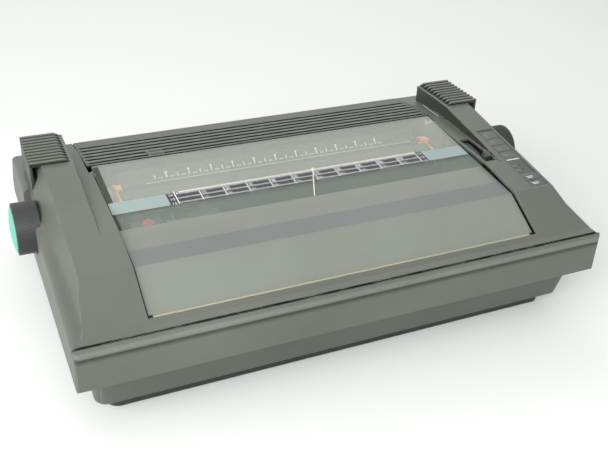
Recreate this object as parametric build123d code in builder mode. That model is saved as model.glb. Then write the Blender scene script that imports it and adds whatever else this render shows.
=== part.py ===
from build123d import *
import os
from math import cos, hypot, radians, sin

# A daisy wheel printer: a stepped two-part casing, a smoked lid over the print
# mechanism, a louvred rear cover, ribbed vent caps and a platen with two knobs.
# Millimetres. X runs along the platen, Y from front to rear, Z up. The origin
# is on the table, under the middle of the machine.

os.makedirs("parts", exist_ok=True)

# %% Driving sizes: from the middle outwards
lid_half_x = 203.5
lid_gap = 1.5               # beside the lid
strip_width = 17.5          # the strip between the lid's opening and the shoulder
shoulder_width = 31.5       # at the shoulder's top edge
ledge_width = 20.0          # from there to the side of the casing
lid_opening_half_x = lid_half_x + lid_gap
inner_wall_x = lid_opening_half_x + strip_width
shoulder_edge = inner_wall_x + shoulder_width
half_width = shoulder_edge + ledge_width

# %% Driving sizes: casing
half_depth = 198.0
wall = 3.0
seam = 1.2                  # gap between the two casings
part_gap = 0.3              # gap between pieces that lie close
fit_gap = 0.05              # radial clearance of a running fit
corner_radius = 12.0        # upright corners of the casing
edge_radius = 6.0           # long top edges of the ledges

plinth_top = 18.0
plinth_half_x = half_width - 30.4
plinth_half_y = half_depth - 38.0
tray_half_x = half_width - 18.0
tray_top = 58.0
tray_front_low = -half_depth + 25.5
tray_front_high = -half_depth + 13.1
tray_rear = half_depth - 18.0
flange = 4.0                # underside shelf between the tray and the upper casing

foot_radius = 9.0
foot_height = 3.2
foot_recess = 2.0
foot_x = plinth_half_x - 28.6
foot_y = plinth_half_y - 30.0

apron_height = 103.0
apron_fold = -half_depth + 16.0         # the shoulders rise from here
bumper_corner = 7.0
nose_reach = 2.4            # how far the bumper's rounded nose stands out
nose_under = 3.8            # height of the nose's underside
nose_front = 3.0            # height of its blunt front
nose_radius = 1.4
bumper_face = -half_depth + nose_reach  # flat front face under the nose
bumper_crease = 91.0
bumper_top = apron_height - 0.7
bumper_back_high = -half_depth + 5.6    # the seam leans from here
bumper_back_low = -half_depth + 30.0    # down to here
bumper_lip = 2.6

ledge_knee = (-137.5, 110.3)
ledge_level = (-15.0, 122.0)
deck_rear = (half_depth - 58.0, 131.0)  # top of the leaning rear wall

shoulder_crease = (-131.0, 131.0)
shoulder_slope = 0.152
shoulder_tilt = 0.45        # how far the side face leans in, per millimetre of height
cap_front, cap_rear = 42.8, 110.9
cap_seat = shoulder_crease[1] + shoulder_slope * (cap_front - shoulder_crease[0])
strip_start = -78.0         # the strip beside the lid drops below the shoulder here
strip_peak = (47.0, 142.0)
strip_bend = (94.0, 139.6)
inner_wall_thickness = 2.5

# %% Driving sizes: covers
lid_thickness = 3.0
lid_front = (apron_fold + 6.7, apron_height - 1.3)
lid_bend = (-127.5, 128.3)
lid_rear = (50.7, 144.1)
lid_front_gap = 1.2
lid_hinge = (46.8, 137.5)
lid_pin_radius = 2.0
ear_thickness = 3.0
ear_radius = 3.9
shelf_depth = 8.0

cover_half_x = lid_half_x + 4.2
cover_gap = 0.8
cover_opening_half_x = cover_half_x + cover_gap
cover_front = (54.6, 143.8)
cover_rear = (deck_rear[0] + 2.7, deck_rear[1] + 0.4)
cover_thickness = 3.0
cover_hinge = (deck_rear[0] - 2.0, deck_rear[1] - 3.8)
cover_pin_radius = 1.5
cover_roll_radius = 4.6     # the rear edge of the cover is rolled round its hinge
cover_corner = 5.5          # the rear corners are cut off at a slant
slot_count = 6
slot_first = cover_front[0] + 5.4
slot_last = cover_rear[0] - 28.7
slot_width = 4.6
slot_half_x = cover_half_x - 3.7
rib_count = 7
rib_width = 3.0
catch_x = -131.0            # smooth patch across the two front slots
catch_width = 18.0
hanger_thickness = 3.0      # upright webs that carry both hinges

cap_outer_x = shoulder_edge + 12.1
cap_inner_x = inner_wall_x + 3.5
cap_height = 3.5
cap_top = cap_seat + cap_height
cap_skin = 2.4
cap_skirt_bottom = 123.0
cap_side_depth = 7.1        # the cap's skirt stands this far outside the shoulder
cap_rib_count = 14
cap_rib_width = 2.5
cap_bevel = 5.0

# %% Driving sizes: platen and paper path
platen_axis = (10.3, 108.0)
platen_radius = 19.5
shaft_radius = 6.0
bush_radius = 9.0
bush_thickness = 5.0
knob_radius = 26.4
knob_length = 23.7
knob_gap = 2.0              # between a knob and the wall of its pocket
knob_inner_x = half_width - 6.3
knob_outer_x = knob_inner_x + knob_length
knob_cap_radius = 23.6
knob_cap_height = 4.2
shaft_half_x = knob_outer_x - 4.4
pocket_radius = knob_radius + knob_gap
pocket_rear = 65.0
pocket_back_x = knob_inner_x - 1.6

gear_module = 1.0
gear_width = 6.0
platen_teeth, idler_teeth, pinion_teeth = 50, 30, 16
gear_backlash = 0.25        # added to each centre distance
idler_direction = -66.4     # degrees from +Y, seen from +X

frame_inset = 14.5          # the frames stand this far inside the edges of the lid
frame_inner_x = lid_half_x - frame_inset
frame_front, frame_rear = -118.0, 62.0
frame_thickness = 2.0
frame_foot = 12.0           # width of the bent foot of each side frame
gear_inner_x = frame_inner_x + 4.0
platen_half_x = frame_inner_x - 8.0

bail_pivot = (34.0, 122.0)
bail_rod_place = (-11.3, 121.4)
bail_rod_radius = 3.0
bail_roller_radius = 5.0
bail_roller_length = 22.0
bail_roller_places = (-120.0, -40.0, 40.0, 120.0)
bail_arm_inner_x = frame_inner_x - 5.0
bail_arm_thickness = 2.6
bail_stub_radius = 2.5

guide_half_x = frame_inner_x - 10.0
guide_thickness = 1.5
guide_line = ((34.5, 92.0), (34.5, 122.0), (47.5, 133.0))

roller_radius = 7.0
roller_shaft_radius = 3.0
roller_length = 40.0
roller_places = (-120.0, -40.0, 40.0, 120.0)
carrier_pivot = (40.0, 80.0)
carrier_arm_places = (-80.0, 0.0, 80.0)
carrier_arm_width = 6.0
carrier_eye_radius = 6.0

lever_pivot = (-25.0, 60.0)
lever_stud_radius = 4.0
lever_hub_radius = 8.0
lever_arc_radius = 76.5
lever_arc_depth = 6.0
lever_reach = 92.0
lever_angle = 24.0          # the handle leans this far forward at rest
lever_arc_end = -6.0
lever_handle_width = 8.0
lever_clearance = 3.5
lever_slot_x = (lid_opening_half_x + 2.5, inner_wall_x - 1.0)
lever_inner_x = lever_slot_x[0] + lever_clearance
lever_outer_x = lever_slot_x[1] - lever_clearance
lever_slot_y = (-71.0, -15.0)

# %% Driving sizes: carriage
carriage_x = -frame_inner_x + 51.0      # parked at the left end of its travel
carriage_half_x = 46.0
rod_radius = 5.0
rod_front_y, rod_rear_y = -80.0, -34.0
rod_height = 46.0
carriage_front, carriage_rear = -90.0, -24.0
carriage_base = (38.0, 54.0)
carriage_plate = 3.0
carriage_top = 102.0
bridge_bottom = 94.5
wheel_height = 74.5
wheel_motor_radius = 17.5
wheel_motor_length = 38.0
wheel_shaft_radius = 2.0
wheel_radius = 36.0
wheel_hub_radius = 8.0
wheel_back = -13.6
wheel_thickness = 0.6
petal_count = 96
petal_root = 16.0
petal_slot = 0.5
hammer_height = 107.5
hammer_radius = 2.5
hammer_tip = -14.9
solenoid_half_x = 11.0
solenoid_y = (-68.0, -36.0)
solenoid_top = 115.0
cassette_height = 12.0
cassette_slot_half_x = 14.0
cassette_front = -88.0
cassette_arm_x = (24.0, 30.0)
ribbon_y = (-12.5, -12.2)
ribbon_z = (104.5, 113.0)
winder_place = (-30.0, -40.0)
winder_radius = 6.0
winder_height = 5.0
guide_card_y = (-11.9, -10.9)
guide_card_z = (96.0, 115.0)
guide_card_half_x = 39.0
window_half_x = 5.0

belt_y = (-97.0, -91.0)
belt_thickness = 1.5
pulley_x = frame_inner_x - 24.0
pulley_height = 32.5
pulley_radius = 8.0
pulley_flange = 1.0
pulley_shaft_radius = 2.5
motor_size = 42.0
motor_length = 36.0
bracket_thickness = 3.0

# %% Driving sizes: electrical pieces and controls
chassis_half_x = plinth_half_x - 17.6
chassis_half_y = plinth_half_y - 10.0
chassis_bottom, chassis_thickness = 10.0, 1.5
post_radius = 6.0
post_x, post_y = foot_x - 7.0, foot_y - 10.0
screw_radius = 1.5
screw_head_radius = 3.0
screw_head = 2.0
screw_length = 16.0
screw_x = half_width - 10.0
screw_places = (-half_depth + 48.0, -40.0, 90.0, half_depth - 30.0)
boss_radius = 5.5
board_x, board_y = (-180.0, 110.0), (tray_rear - 110.0, tray_rear - 12.0)
board_bottom, board_thickness = 24.0, 1.6
standoff_radius = 3.0
standoff_inset = 6.0        # from the board's sides and front
standoff_rear_inset = 26.0
board_parts = ((30, 25, 48, 15, 4), (90, 25, 48, 15, 4), (90, 55, 36, 9, 4), (150, 30, 36, 15, 4),
               (150, 58, 22, 9, 4), (210, 25, 28, 9, 4), (260, 40, 12, 50, 26), (30, 58, 30, 12, 10))
transformer_x, transformer_y = (114.0, 184.0), (tray_rear - 105.0, tray_rear - 40.0)
transformer_height = 54.0
inlet_x, inlet_half_x, inlet_half_z = 200.0, 14.0, 10.5
inlet_depth = 24.0
switch_x, switch_half_x, switch_half_z = 150.0, 8.5, 12.5
switch_wall, switch_depth, switch_rim = 1.5, 20.0, 2.5
rocker_half_z = 9.5
rocker_pin_radius = 1.2
rocker_pivot_depth = 3.0
connector_x, connector_half_x, connector_half_z = 30.0, 30.0, 7.0
socket_height = 38.0        # middle of everything in the rear wall
panel_x = (inner_wall_x + 7.0, shoulder_edge - 2.5)
panel_y = (-128.5, -14.5)
panel_depth = 5.4
panel_tub = 2.0             # walls and floor of the recess the panel lies in
panel_rim = 1.2             # rim under the panel that stands on the key board
panel_thickness = 2.0
panel_set_back = 1.2
key_thickness = 1.4
key_proud = 0.2
key_travel = 0.6
key_plunger = 2.0           # radius of the round foot that works each switch
key_x = (panel_x[0] + 2.1, panel_x[1] - 2.1)
key_rows = ((-32.6, -20.6), (-45.8, -33.8), (-59.0, -47.0), (-72.2, -60.2),
            (-114.4, -105.0), (-125.6, -116.2))
lamp_places = (-87.0, -95.0)
lamp_radius = 1.5


# %% Lines of the side view
def between(a, b, y):
    """Height at y on the straight line through the points a and b."""
    return a[1] + (b[1] - a[1]) * (y - a[0]) / (b[0] - a[0])


def rear_wall_y(z):
    """The leaning rear wall of the upper casing."""
    return half_depth + (deck_rear[0] - half_depth) * (z - tray_top) / (deck_rear[1] - tray_top)


def rear_skin_y(z):
    """The inner face of the leaning rear wall."""
    run = (half_depth - deck_rear[0]) / (deck_rear[1] - tray_top)
    return rear_wall_y(z) - wall * hypot(1, run)


def seam_y(z, gap=0.0):
    """The leaning seam behind the bumper, moved back by a gap."""
    run = (bumper_back_high - bumper_back_low) / (bumper_top - tray_top)
    return bumper_back_low + gap + run * (z - tray_top)


def shoulder_z(y):
    return shoulder_crease[1] + shoulder_slope * (y - shoulder_crease[0])


def along(axis, angle, distance):
    """The point at a distance from an axis, at an angle from +Y towards +Z."""
    return (axis[0] + distance * cos(radians(angle)), axis[1] + distance * sin(radians(angle)))


def sheet(top, thickness):
    """Outline of a bent sheet that hangs under the given top line."""
    slopes = [(b[1] - a[1]) / (b[0] - a[0]) for a, b in zip(top, top[1:])]
    drops = [thickness * hypot(1, s) for s in slopes]
    under = [(top[0][0], top[0][1] - drops[0])]
    for i in range(1, len(top) - 1):
        step = (drops[i] - drops[i - 1]) / (slopes[i] - slopes[i - 1])
        y = top[i][0] + step
        under.append((y, top[i][1] + slopes[i] * step - drops[i]))
    under.append((top[-1][0], top[-1][1] - drops[-1]))
    return list(top) + under[::-1]


# %% Solids used again and again
def side_view(points, x, inset=0.0):
    """A face drawn in the side view at x, optionally shrunk by an even wall."""
    with BuildSketch(Plane.YZ.offset(x)) as drawing:
        with BuildLine():
            Polyline(*points, close=True)
        make_face()
        if inset:
            offset(amount=-inset, kind=Kind.INTERSECTION)
    return drawing.sketch


def prism(points, x, mode=Mode.ADD, inset=0.0):
    """A side-view outline carried from x[0] to x[1]."""
    extrude(side_view(points, x[0], inset), amount=x[1] - x[0], mode=mode)


def block(x, y, z, mode=Mode.ADD):
    """A box between two values on each axis."""
    with Locations(((x[0] + x[1]) / 2, (y[0] + y[1]) / 2, (z[0] + z[1]) / 2)):
        Box(x[1] - x[0], y[1] - y[0], z[1] - z[0], mode=mode)


def rod_x(place, radius, x, mode=Mode.ADD):
    """A round bar along X at (y, z)."""
    with Locations(Location(((x[0] + x[1]) / 2, place[0], place[1]), (0, 90, 0))):
        Cylinder(radius, x[1] - x[0], mode=mode)


def rod_y(place, radius, y, mode=Mode.ADD):
    """A round bar along Y at (x, z)."""
    with Locations(Location((place[0], (y[0] + y[1]) / 2, place[1]), (90, 0, 0))):
        Cylinder(radius, y[1] - y[0], mode=mode)


def rod_z(place, radius, z, mode=Mode.ADD):
    """A round bar along Z at (x, y)."""
    with Locations((place[0], place[1], (z[0] + z[1]) / 2)):
        Cylinder(radius, z[1] - z[0], mode=mode)


def arm(a, b, width, x, mode=Mode.ADD):
    """A flat bar of the side view from a to b."""
    length = hypot(b[0] - a[0], b[1] - a[1])
    side = ((a[1] - b[1]) / length * width / 2, (b[0] - a[0]) / length * width / 2)
    prism([(a[0] + side[0], a[1] + side[1]), (b[0] + side[0], b[1] + side[1]),
           (b[0] - side[0], b[1] - side[1]), (a[0] - side[0], a[1] - side[1])], x, mode)


def plan_face(half_x, front, rear, radius, z):
    """A rectangle with rounded corners in plan."""
    with BuildSketch(Plane.XY.offset(z)) as drawing:
        with Locations((0, (front + rear) / 2)):
            RectangleRounded(2 * half_x, rear - front, radius)
    return drawing.sketch


def save(part, name):
    part.label = name
    export_step(part, f"parts/{name}.step")


# %% Lower casing: plinth, tray, underside shelf and front bumper
plinth_bottom = foot_height - foot_recess
nose_edge = bumper_crease + nose_under + nose_front     # where the nose turns into the slanting top
bumper_room = [(bumper_face + wall, tray_top + flange), (bumper_face + wall, bumper_top - bumper_lip),
               (tray_front_low, bumper_top - bumper_lip), (tray_front_low, tray_top + flange)]

with BuildPart() as bumper_space:
    prism(bumper_room, (-half_width + wall, half_width - wall))
    extrude(plan_face(half_width - wall, -half_depth + wall, 0, corner_radius - wall, tray_top),
            amount=bumper_top, mode=Mode.INTERSECT)

with BuildPart() as bumper:
    with BuildSketch(Plane.YZ.offset(-half_width)) as bumper_profile:
        with BuildLine():
            Polyline((bumper_face, tray_top), (bumper_face, bumper_crease),
                     (-half_depth, bumper_crease + nose_under), (-half_depth, nose_edge),
                     (bumper_back_high, bumper_top), (bumper_back_low, tray_top), close=True)
        make_face()
        fillet(bumper_profile.vertices().group_by(Axis.Y)[0], nose_radius)
    extrude(amount=2 * half_width)
    extrude(plan_face(half_width, -half_depth, 0, bumper_corner, tray_top),
            amount=bumper_top, mode=Mode.INTERSECT)
    add(bumper_space.part, mode=Mode.SUBTRACT)

tray_line = [(tray_front_low, plinth_top), (tray_front_high, tray_top),
             (tray_rear, tray_top), (tray_rear, plinth_top)]
lean = (tray_front_high - tray_front_low) / (tray_top - plinth_top)
tray_room = [(tray_front_low + wall + lean * wall, plinth_top + wall),
             (tray_front_high + wall + lean * 2 * flange, tray_top + 2 * flange),
             (tray_rear - wall, tray_top + 2 * flange), (tray_rear - wall, plinth_top + wall)]

with BuildPart() as lower_casing:
    extrude(plan_face(plinth_half_x, -plinth_half_y, plinth_half_y, corner_radius, plinth_bottom),
            amount=plinth_top - plinth_bottom)
    prism(tray_line, (-tray_half_x, tray_half_x))
    upright = lower_casing.edges().filter_by(lambda e: abs(abs(e.center().X) - tray_half_x) < 0.01)
    fillet(upright.filter_by(lambda e: e.length > 30 and abs(e.center().Z - 38) < 1), corner_radius)
    extrude(plan_face(half_width - wall - part_gap, bumper_face + wall / 3,
                      rear_skin_y(tray_top + flange) - part_gap, corner_radius - wall, tray_top),
            amount=flange)
    prism(tray_room, (-tray_half_x + wall, tray_half_x - wall), Mode.SUBTRACT)
    extrude(plan_face(plinth_half_x - wall, -plinth_half_y + wall, plinth_half_y - wall,
                      corner_radius - wall, plinth_bottom + wall),
            amount=plinth_top, mode=Mode.SUBTRACT)
    add(bumper.part)
    with Locations((post_x, post_y), (-post_x, post_y), (post_x, -post_y), (-post_x, -post_y)):
        with Locations((0, 0, (plinth_bottom + wall + chassis_bottom) / 2)):
            Cylinder(post_radius, chassis_bottom - plinth_bottom - wall)
    with Locations((foot_x, foot_y), (-foot_x, foot_y), (foot_x, -foot_y), (-foot_x, -foot_y)):
        with Locations((0, 0, plinth_bottom + foot_recess / 2)):
            Cylinder(foot_radius + part_gap, foot_recess, mode=Mode.SUBTRACT)
    for y in screw_places:
        for x in (-screw_x, screw_x):
            rod_z((x, y), screw_radius + fit_gap, (tray_top, tray_top + flange), Mode.SUBTRACT)
            rod_z((x, y), screw_head_radius + part_gap, (tray_top, tray_top + screw_head + part_gap),
                  Mode.SUBTRACT)
    rear_skin = (tray_rear - wall, tray_rear)
    for x, half_x, half_z in ((inlet_x, inlet_half_x, inlet_half_z),
                              (switch_x, switch_half_x, switch_half_z),
                              (connector_x, connector_half_x, connector_half_z)):
        block((x - half_x - part_gap, x + half_x + part_gap), rear_skin,
              (socket_height - half_z - part_gap, socket_height + half_z + part_gap), Mode.SUBTRACT)
save(lower_casing.part, "lower_casing")

with BuildPart() as rubber_feet:
    with Locations((foot_x, foot_y), (-foot_x, foot_y), (foot_x, -foot_y), (-foot_x, -foot_y)):
        with Locations((0, 0, foot_height / 2)):
            Cylinder(foot_radius, foot_height)
save(rubber_feet.part, "rubber_feet")

# %% Upper casing: ledges, shoulders, the strip beside the lid and the rear deck
below = tray_top - 20       # hollows run down past the open underside
ledge_top = [(seam_y(apron_height, seam), apron_height), (apron_fold, apron_height), ledge_knee,
             ledge_level, (rear_wall_y(ledge_level[1]), ledge_level[1])]
ledge_line = [(seam_y(tray_top, seam), tray_top)] + ledge_top + [(half_depth, tray_top)]
ledge_room = [(seam_y(below, seam), below)] + ledge_top + [(rear_wall_y(below), below)]
shoulder_top = [(apron_fold, apron_height), shoulder_crease, (cap_front, cap_seat), (cap_rear, cap_seat)]
shoulder_line = [(apron_fold, apron_height - 8)] + shoulder_top + [(cap_rear, apron_height)]
shoulder_room = [(apron_fold, below)] + shoulder_top + [(cap_rear, below)]
deck_lead = (shoulder_crease[0] - 10, apron_height + 8)
deck_top = [deck_lead, (strip_start, shoulder_z(strip_start)), strip_peak, strip_bend, deck_rear]
deck_line = [(deck_lead[0], apron_height - 4)] + deck_top + [(rear_wall_y(apron_height), apron_height - 4)]
deck_room = [(deck_lead[0], below)] + deck_top + [(rear_wall_y(below), below)]
shoulder_back_x = cap_outer_x - cap_side_depth      # under the caps the shoulder stands upright
side_normal = Vector(1, -shoulder_slope * shoulder_tilt, shoulder_tilt).normalized()
side_point = Vector(shoulder_edge, *shoulder_crease)


def knob_pocket(side, start_x):
    """The room round a knob, from start_x outwards, closed in front by an arc round the platen."""
    reach = tuple(sorted((side * start_x, side * (half_width + 10))))
    rod_x(platen_axis, pocket_radius, reach, Mode.SUBTRACT)
    block(reach, (platen_axis[0], pocket_rear), (pocket_floor, cap_top + 10), Mode.SUBTRACT)


def shoulder_block(line, x, inset):
    """One shoulder, cut by its leaning side face, which is moved in by the wall."""
    with BuildPart() as raised:
        prism(line, x, inset=inset)
        split(bisect_by=Plane(origin=side_point - side_normal * inset, z_dir=side_normal),
              keep=Keep.BOTTOM)
        block((shoulder_back_x - inset, half_width + 10), (cap_front - inset, half_depth),
              (ledge_level[1] - 2 * wall, cap_top + 10), Mode.SUBTRACT)
    return raised.part


shoulder_solid = shoulder_block(shoulder_line, (0, half_width), 0.0)
shoulder_hollow = shoulder_block(shoulder_room, (inner_wall_x + inner_wall_thickness, half_width - wall), wall)

with BuildPart() as rear_deck:
    prism(deck_line, (-shoulder_back_x, shoulder_back_x))
    block((-half_width, half_width), (-half_depth, cap_front), (0, cap_top), Mode.SUBTRACT)

with BuildPart() as rear_hollow:
    prism(deck_room, (0, shoulder_back_x - wall), inset=wall)
    block((0, half_width), (-half_depth, cap_front), (0, cap_top), Mode.SUBTRACT)

pocket_front = platen_axis[0] - pocket_radius
pocket_floor = platen_axis[1] - pocket_radius
with BuildPart() as casing_room:
    prism(ledge_room, (0, half_width - wall), inset=wall)
    add(shoulder_hollow)
    prism(shoulder_room, (0, inner_wall_x + 2 * wall), inset=wall)
    block((0, inner_wall_x + inner_wall_thickness), (strip_start - wall, half_depth),
          (shoulder_z(strip_start) - wall, cap_top), Mode.SUBTRACT)
    prism(deck_room, (0, inner_wall_x + 2 * wall), inset=wall)
    add(rear_hollow.part)
    block((pocket_back_x - wall, half_width + 10), (pocket_front - wall, pocket_rear + wall),
          (pocket_floor - wall, cap_top), Mode.SUBTRACT)

above_strip = [(strip_start, shoulder_z(strip_start)), strip_peak, strip_bend, deck_rear,
               (deck_rear[0], cap_top + 10), (strip_start, cap_top + 10)]
hinge_sink = cover_hinge[1] - 2.7       # top of the rear wall behind the rolled edge
roll_gap = 0.5
opening_low = 92.0          # everything under this is already hollow
cover_cut = [(lid_hinge[0] - 6.8, opening_low), (lid_hinge[0] - 6.8, cap_top),
             (deck_rear[0] + 30, cap_top),
             (deck_rear[0] + 30, hinge_sink), (cover_hinge[0] - 2, hinge_sink),
             (cover_hinge[0] - 2, opening_low)]
hanger_line = [(25.0, strip_bend[1] - 28), (25.0, strip_peak[1] - 1), strip_peak, strip_bend, deck_rear,
               (rear_wall_y(hinge_sink), hinge_sink), (rear_wall_y(hinge_sink) - 8, hinge_sink - 4),
               (cover_hinge[0] - 10, hinge_sink - 8), (90.0, strip_bend[1] - 28)]

with BuildPart() as screw_bosses:
    for side in (-1, 1):
        for y in screw_places:
            rod_z((side * screw_x, y), boss_radius, (tray_top + flange + part_gap, ledge_level[1]))
    prism([(y, z - 1) for y, z in ledge_line], (-half_width, half_width), Mode.INTERSECT)
    for side in (-1, 1):
        knob_pocket(side, pocket_back_x - 2)
        for y in screw_places:
            rod_z((side * screw_x, y), screw_radius + fit_gap,
                  (tray_top + flange, tray_top + screw_length + 1), Mode.SUBTRACT)

with BuildPart() as upper_casing:
    prism(ledge_line, (-half_width, half_width))
    long_edges = upper_casing.edges().filter_by(
        lambda e: abs(abs(e.center().X) - half_width) < 0.01 and e.center().Z > 100)
    fillet(long_edges, edge_radius)
    extrude(plan_face(half_width, -half_depth, half_depth, corner_radius, tray_top),
            amount=half_width, mode=Mode.INTERSECT)
    prism(deck_line, (-inner_wall_x - 2 * wall, inner_wall_x + 2 * wall))
    add(rear_deck.part)
    add(shoulder_solid)
    mirror(shoulder_solid, about=Plane.YZ)
    prism(above_strip, (-inner_wall_x, inner_wall_x), Mode.SUBTRACT)
    add(casing_room.part, mode=Mode.SUBTRACT)
    mirror(casing_room.part, about=Plane.YZ, mode=Mode.SUBTRACT)
    block((-lid_opening_half_x, lid_opening_half_x), (lid_front[0] - lid_front_gap, lid_hinge[0]),
          (opening_low, cap_top), Mode.SUBTRACT)
    prism(cover_cut, (-cover_opening_half_x, cover_opening_half_x), Mode.SUBTRACT)
    rod_x(cover_hinge, cover_roll_radius + roll_gap, (-cover_opening_half_x, cover_opening_half_x),
          Mode.SUBTRACT)
    shelf_x = (-lid_opening_half_x - wall, lid_opening_half_x + wall)
    shelf_y, shelf_z = lid_front[0] - 3.6, lid_front[1] - 7.0
    block(shelf_x, (shelf_y, shelf_y + shelf_depth), (shelf_z, lid_front[1] - lid_thickness - 1.2))
    block(shelf_x, (shelf_y, lid_front[0] - lid_front_gap), (shelf_z, apron_height - 0.5))
    for side in (-1, 1):
        inner, outer = side * cover_opening_half_x, side * (cover_opening_half_x + hanger_thickness)
        hanger = (min(inner, outer), max(inner, outer))
        prism(hanger_line, hanger)
        rod_x(lid_hinge, lid_pin_radius + fit_gap, hanger, Mode.SUBTRACT)
        rod_x(cover_hinge, cover_pin_radius + fit_gap, hanger, Mode.SUBTRACT)
        knob_pocket(side, pocket_back_x)
        rod_x(platen_axis, shaft_radius + 2, (side * pocket_back_x - wall - 1, side * pocket_back_x + wall + 1),
              Mode.SUBTRACT)
    add(screw_bosses.part)
    extrude(plan_face(half_width, -half_depth, half_depth, corner_radius, 0),
            amount=half_width, mode=Mode.INTERSECT)
    block(lever_slot_x, lever_slot_y, (strip_peak[1] - 15, cap_top), Mode.SUBTRACT)
    panel_plane = Plane(origin=((panel_x[0] + panel_x[1]) / 2, sum(panel_y) / 2, shoulder_z(sum(panel_y) / 2)),
                        x_dir=(1, 0, 0), z_dir=(0, -shoulder_slope, 1))
    with BuildSketch(panel_plane.offset(-1)):
        Rectangle(panel_x[1] - panel_x[0] + 2 * panel_tub, panel_y[1] - panel_y[0] + 2 * panel_tub)
    extrude(amount=1 - panel_depth - panel_tub)
    with BuildSketch(panel_plane.offset(-panel_depth)):
        Rectangle(panel_x[1] - panel_x[0], panel_y[1] - panel_y[0])
    extrude(amount=panel_depth + 2, mode=Mode.SUBTRACT)
save(upper_casing.part, "upper_casing")

with BuildPart() as casing_screws:
    for y in screw_places:
        for x in (-screw_x, screw_x):
            rod_z((x, y), screw_head_radius, (tray_top + part_gap, tray_top + screw_head + part_gap))
            rod_z((x, y), screw_radius, (tray_top + screw_head, tray_top + screw_length))
save(casing_screws.part, "casing_screws")

# %% Ribbed vent caps
cap_seat_gap = 0.2
cap_base = (cap_seat + cap_seat_gap, cap_seat + cap_seat_gap + cap_skin / 2)
with BuildPart() as right_vent_cap:
    block((cap_inner_x, cap_outer_x), (cap_front, cap_rear), cap_base)
    block((cap_outer_x - cap_skin, cap_outer_x), (cap_front, cap_rear), (cap_skirt_bottom, cap_base[1]))
    block((shoulder_back_x + part_gap, cap_outer_x), (cap_rear - cap_skin, cap_rear),
          (cap_skirt_bottom, cap_base[1]))
    pitch = (cap_rear - cap_front - cap_rib_width) / (cap_rib_count - 1)
    with BuildSketch(Plane.XZ.offset(-cap_front - cap_rib_width)):
        with BuildLine():
            Polyline((cap_inner_x, cap_base[0]), (cap_outer_x, cap_base[0]), (cap_outer_x, cap_top),
                     (cap_inner_x + cap_bevel, cap_top), (cap_inner_x, cap_top - 0.6 * cap_bevel),
                     close=True)
        make_face()
    rib = extrude(amount=cap_rib_width)
    for i in range(1, cap_rib_count):
        add(rib.moved(Location((0, i * pitch, 0))))
save(right_vent_cap.part, "right_vent_cap")

with BuildPart() as left_vent_cap:
    mirror(right_vent_cap.part, about=Plane.YZ)
save(left_vent_cap.part, "left_vent_cap")

# %% Smoked lid, bent once, with ears and hinge pins
with BuildPart() as lid:
    prism(sheet([lid_front, lid_bend, lid_rear], lid_thickness), (-lid_half_x, lid_half_x))
    under_rear = between(lid_bend, lid_rear, lid_hinge[0]) - lid_thickness
    for side in (-1, 1):
        ear = tuple(sorted((side * lid_half_x, side * (lid_half_x - ear_thickness))))
        prism([(lid_hinge[0] - ear_radius, lid_hinge[1]), (lid_hinge[0] - ear_radius, under_rear + 0.8),
               (lid_rear[0], under_rear + 0.8), (lid_hinge[0] + ear_radius, lid_hinge[1])], ear)
        rod_x(lid_hinge, ear_radius, ear)
        rod_x(lid_hinge, lid_pin_radius, tuple(sorted((side * lid_half_x,
                                                       side * (cover_opening_half_x + hanger_thickness)))))
save(lid.part, "lid")

# %% Louvred rear cover
cover_plane = Plane(origin=(0, *cover_front), x_dir=(1, 0, 0),
                    z_dir=(0, cover_front[1] - cover_rear[1], cover_rear[0] - cover_front[0]))
cover_stretch = hypot(cover_rear[0] - cover_front[0], cover_rear[1] - cover_front[1]) / (
    cover_rear[0] - cover_front[0])
slot_pitch = (slot_last - slot_first) / (slot_count - 1)


def on_cover(y):
    """Distance down the cover's face from its front edge."""
    return (y - cover_front[0]) * cover_stretch


with BuildPart() as rear_cover:
    prism(sheet([cover_front, cover_rear], cover_thickness), (-cover_half_x, cover_half_x))
    with BuildSketch(cover_plane):
        for i in range(slot_count):
            with Locations((0, on_cover(slot_first + i * slot_pitch))):
                Rectangle(2 * slot_half_x, slot_width)
        with Locations((catch_x, on_cover(slot_first + slot_pitch / 2))):
            Rectangle(catch_width, slot_pitch + slot_width + 1, mode=Mode.SUBTRACT)
    extrude(amount=-cover_thickness - 2, mode=Mode.SUBTRACT)
    with BuildSketch(cover_plane.offset(-cover_thickness)):
        with Locations((0, on_cover((slot_first + slot_last) / 2))):
            with GridLocations(2 * slot_half_x / (rib_count + 1), 1, rib_count, 1):
                Rectangle(rib_width, (slot_last - slot_first + 2 * slot_width) * cover_stretch)
    extrude(amount=-cover_thickness)
    block((-cover_half_x, cover_half_x), (cover_hinge[0], half_depth), (0, cap_top), Mode.SUBTRACT)
    rod_x(cover_hinge, cover_roll_radius, (-cover_half_x, cover_half_x))
    rolled_y = cover_hinge[0] + cover_roll_radius
    for side in (-1, 1):
        with BuildSketch(Plane.XY.offset(cover_hinge[1] - cover_roll_radius - 1)):
            with BuildLine():
                Polyline((side * cover_half_x, rolled_y - cover_corner), (side * cover_half_x, rolled_y),
                         (side * (cover_half_x - cover_corner), rolled_y), close=True)
            make_face()
        extrude(amount=4 * cover_roll_radius, mode=Mode.SUBTRACT)
    rod_x(cover_hinge, cover_pin_radius, (-cover_opening_half_x - hanger_thickness,
                                          cover_opening_half_x + hanger_thickness))
save(rear_cover.part, "rear_cover")

# %% Control panel, keys, lamps and their circuit board
panel_top = panel_plane.offset(-panel_set_back)
panel_mid_x, panel_mid_y = sum(panel_x) / 2, sum(panel_y) / 2


panel_room = panel_depth - panel_set_back - board_thickness     # from the panel's face to the key board


def on_panel(x, y):
    """A place on the panel, measured from its middle."""
    return (x - panel_mid_x, (y - panel_mid_y) * hypot(1, shoulder_slope))


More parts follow.
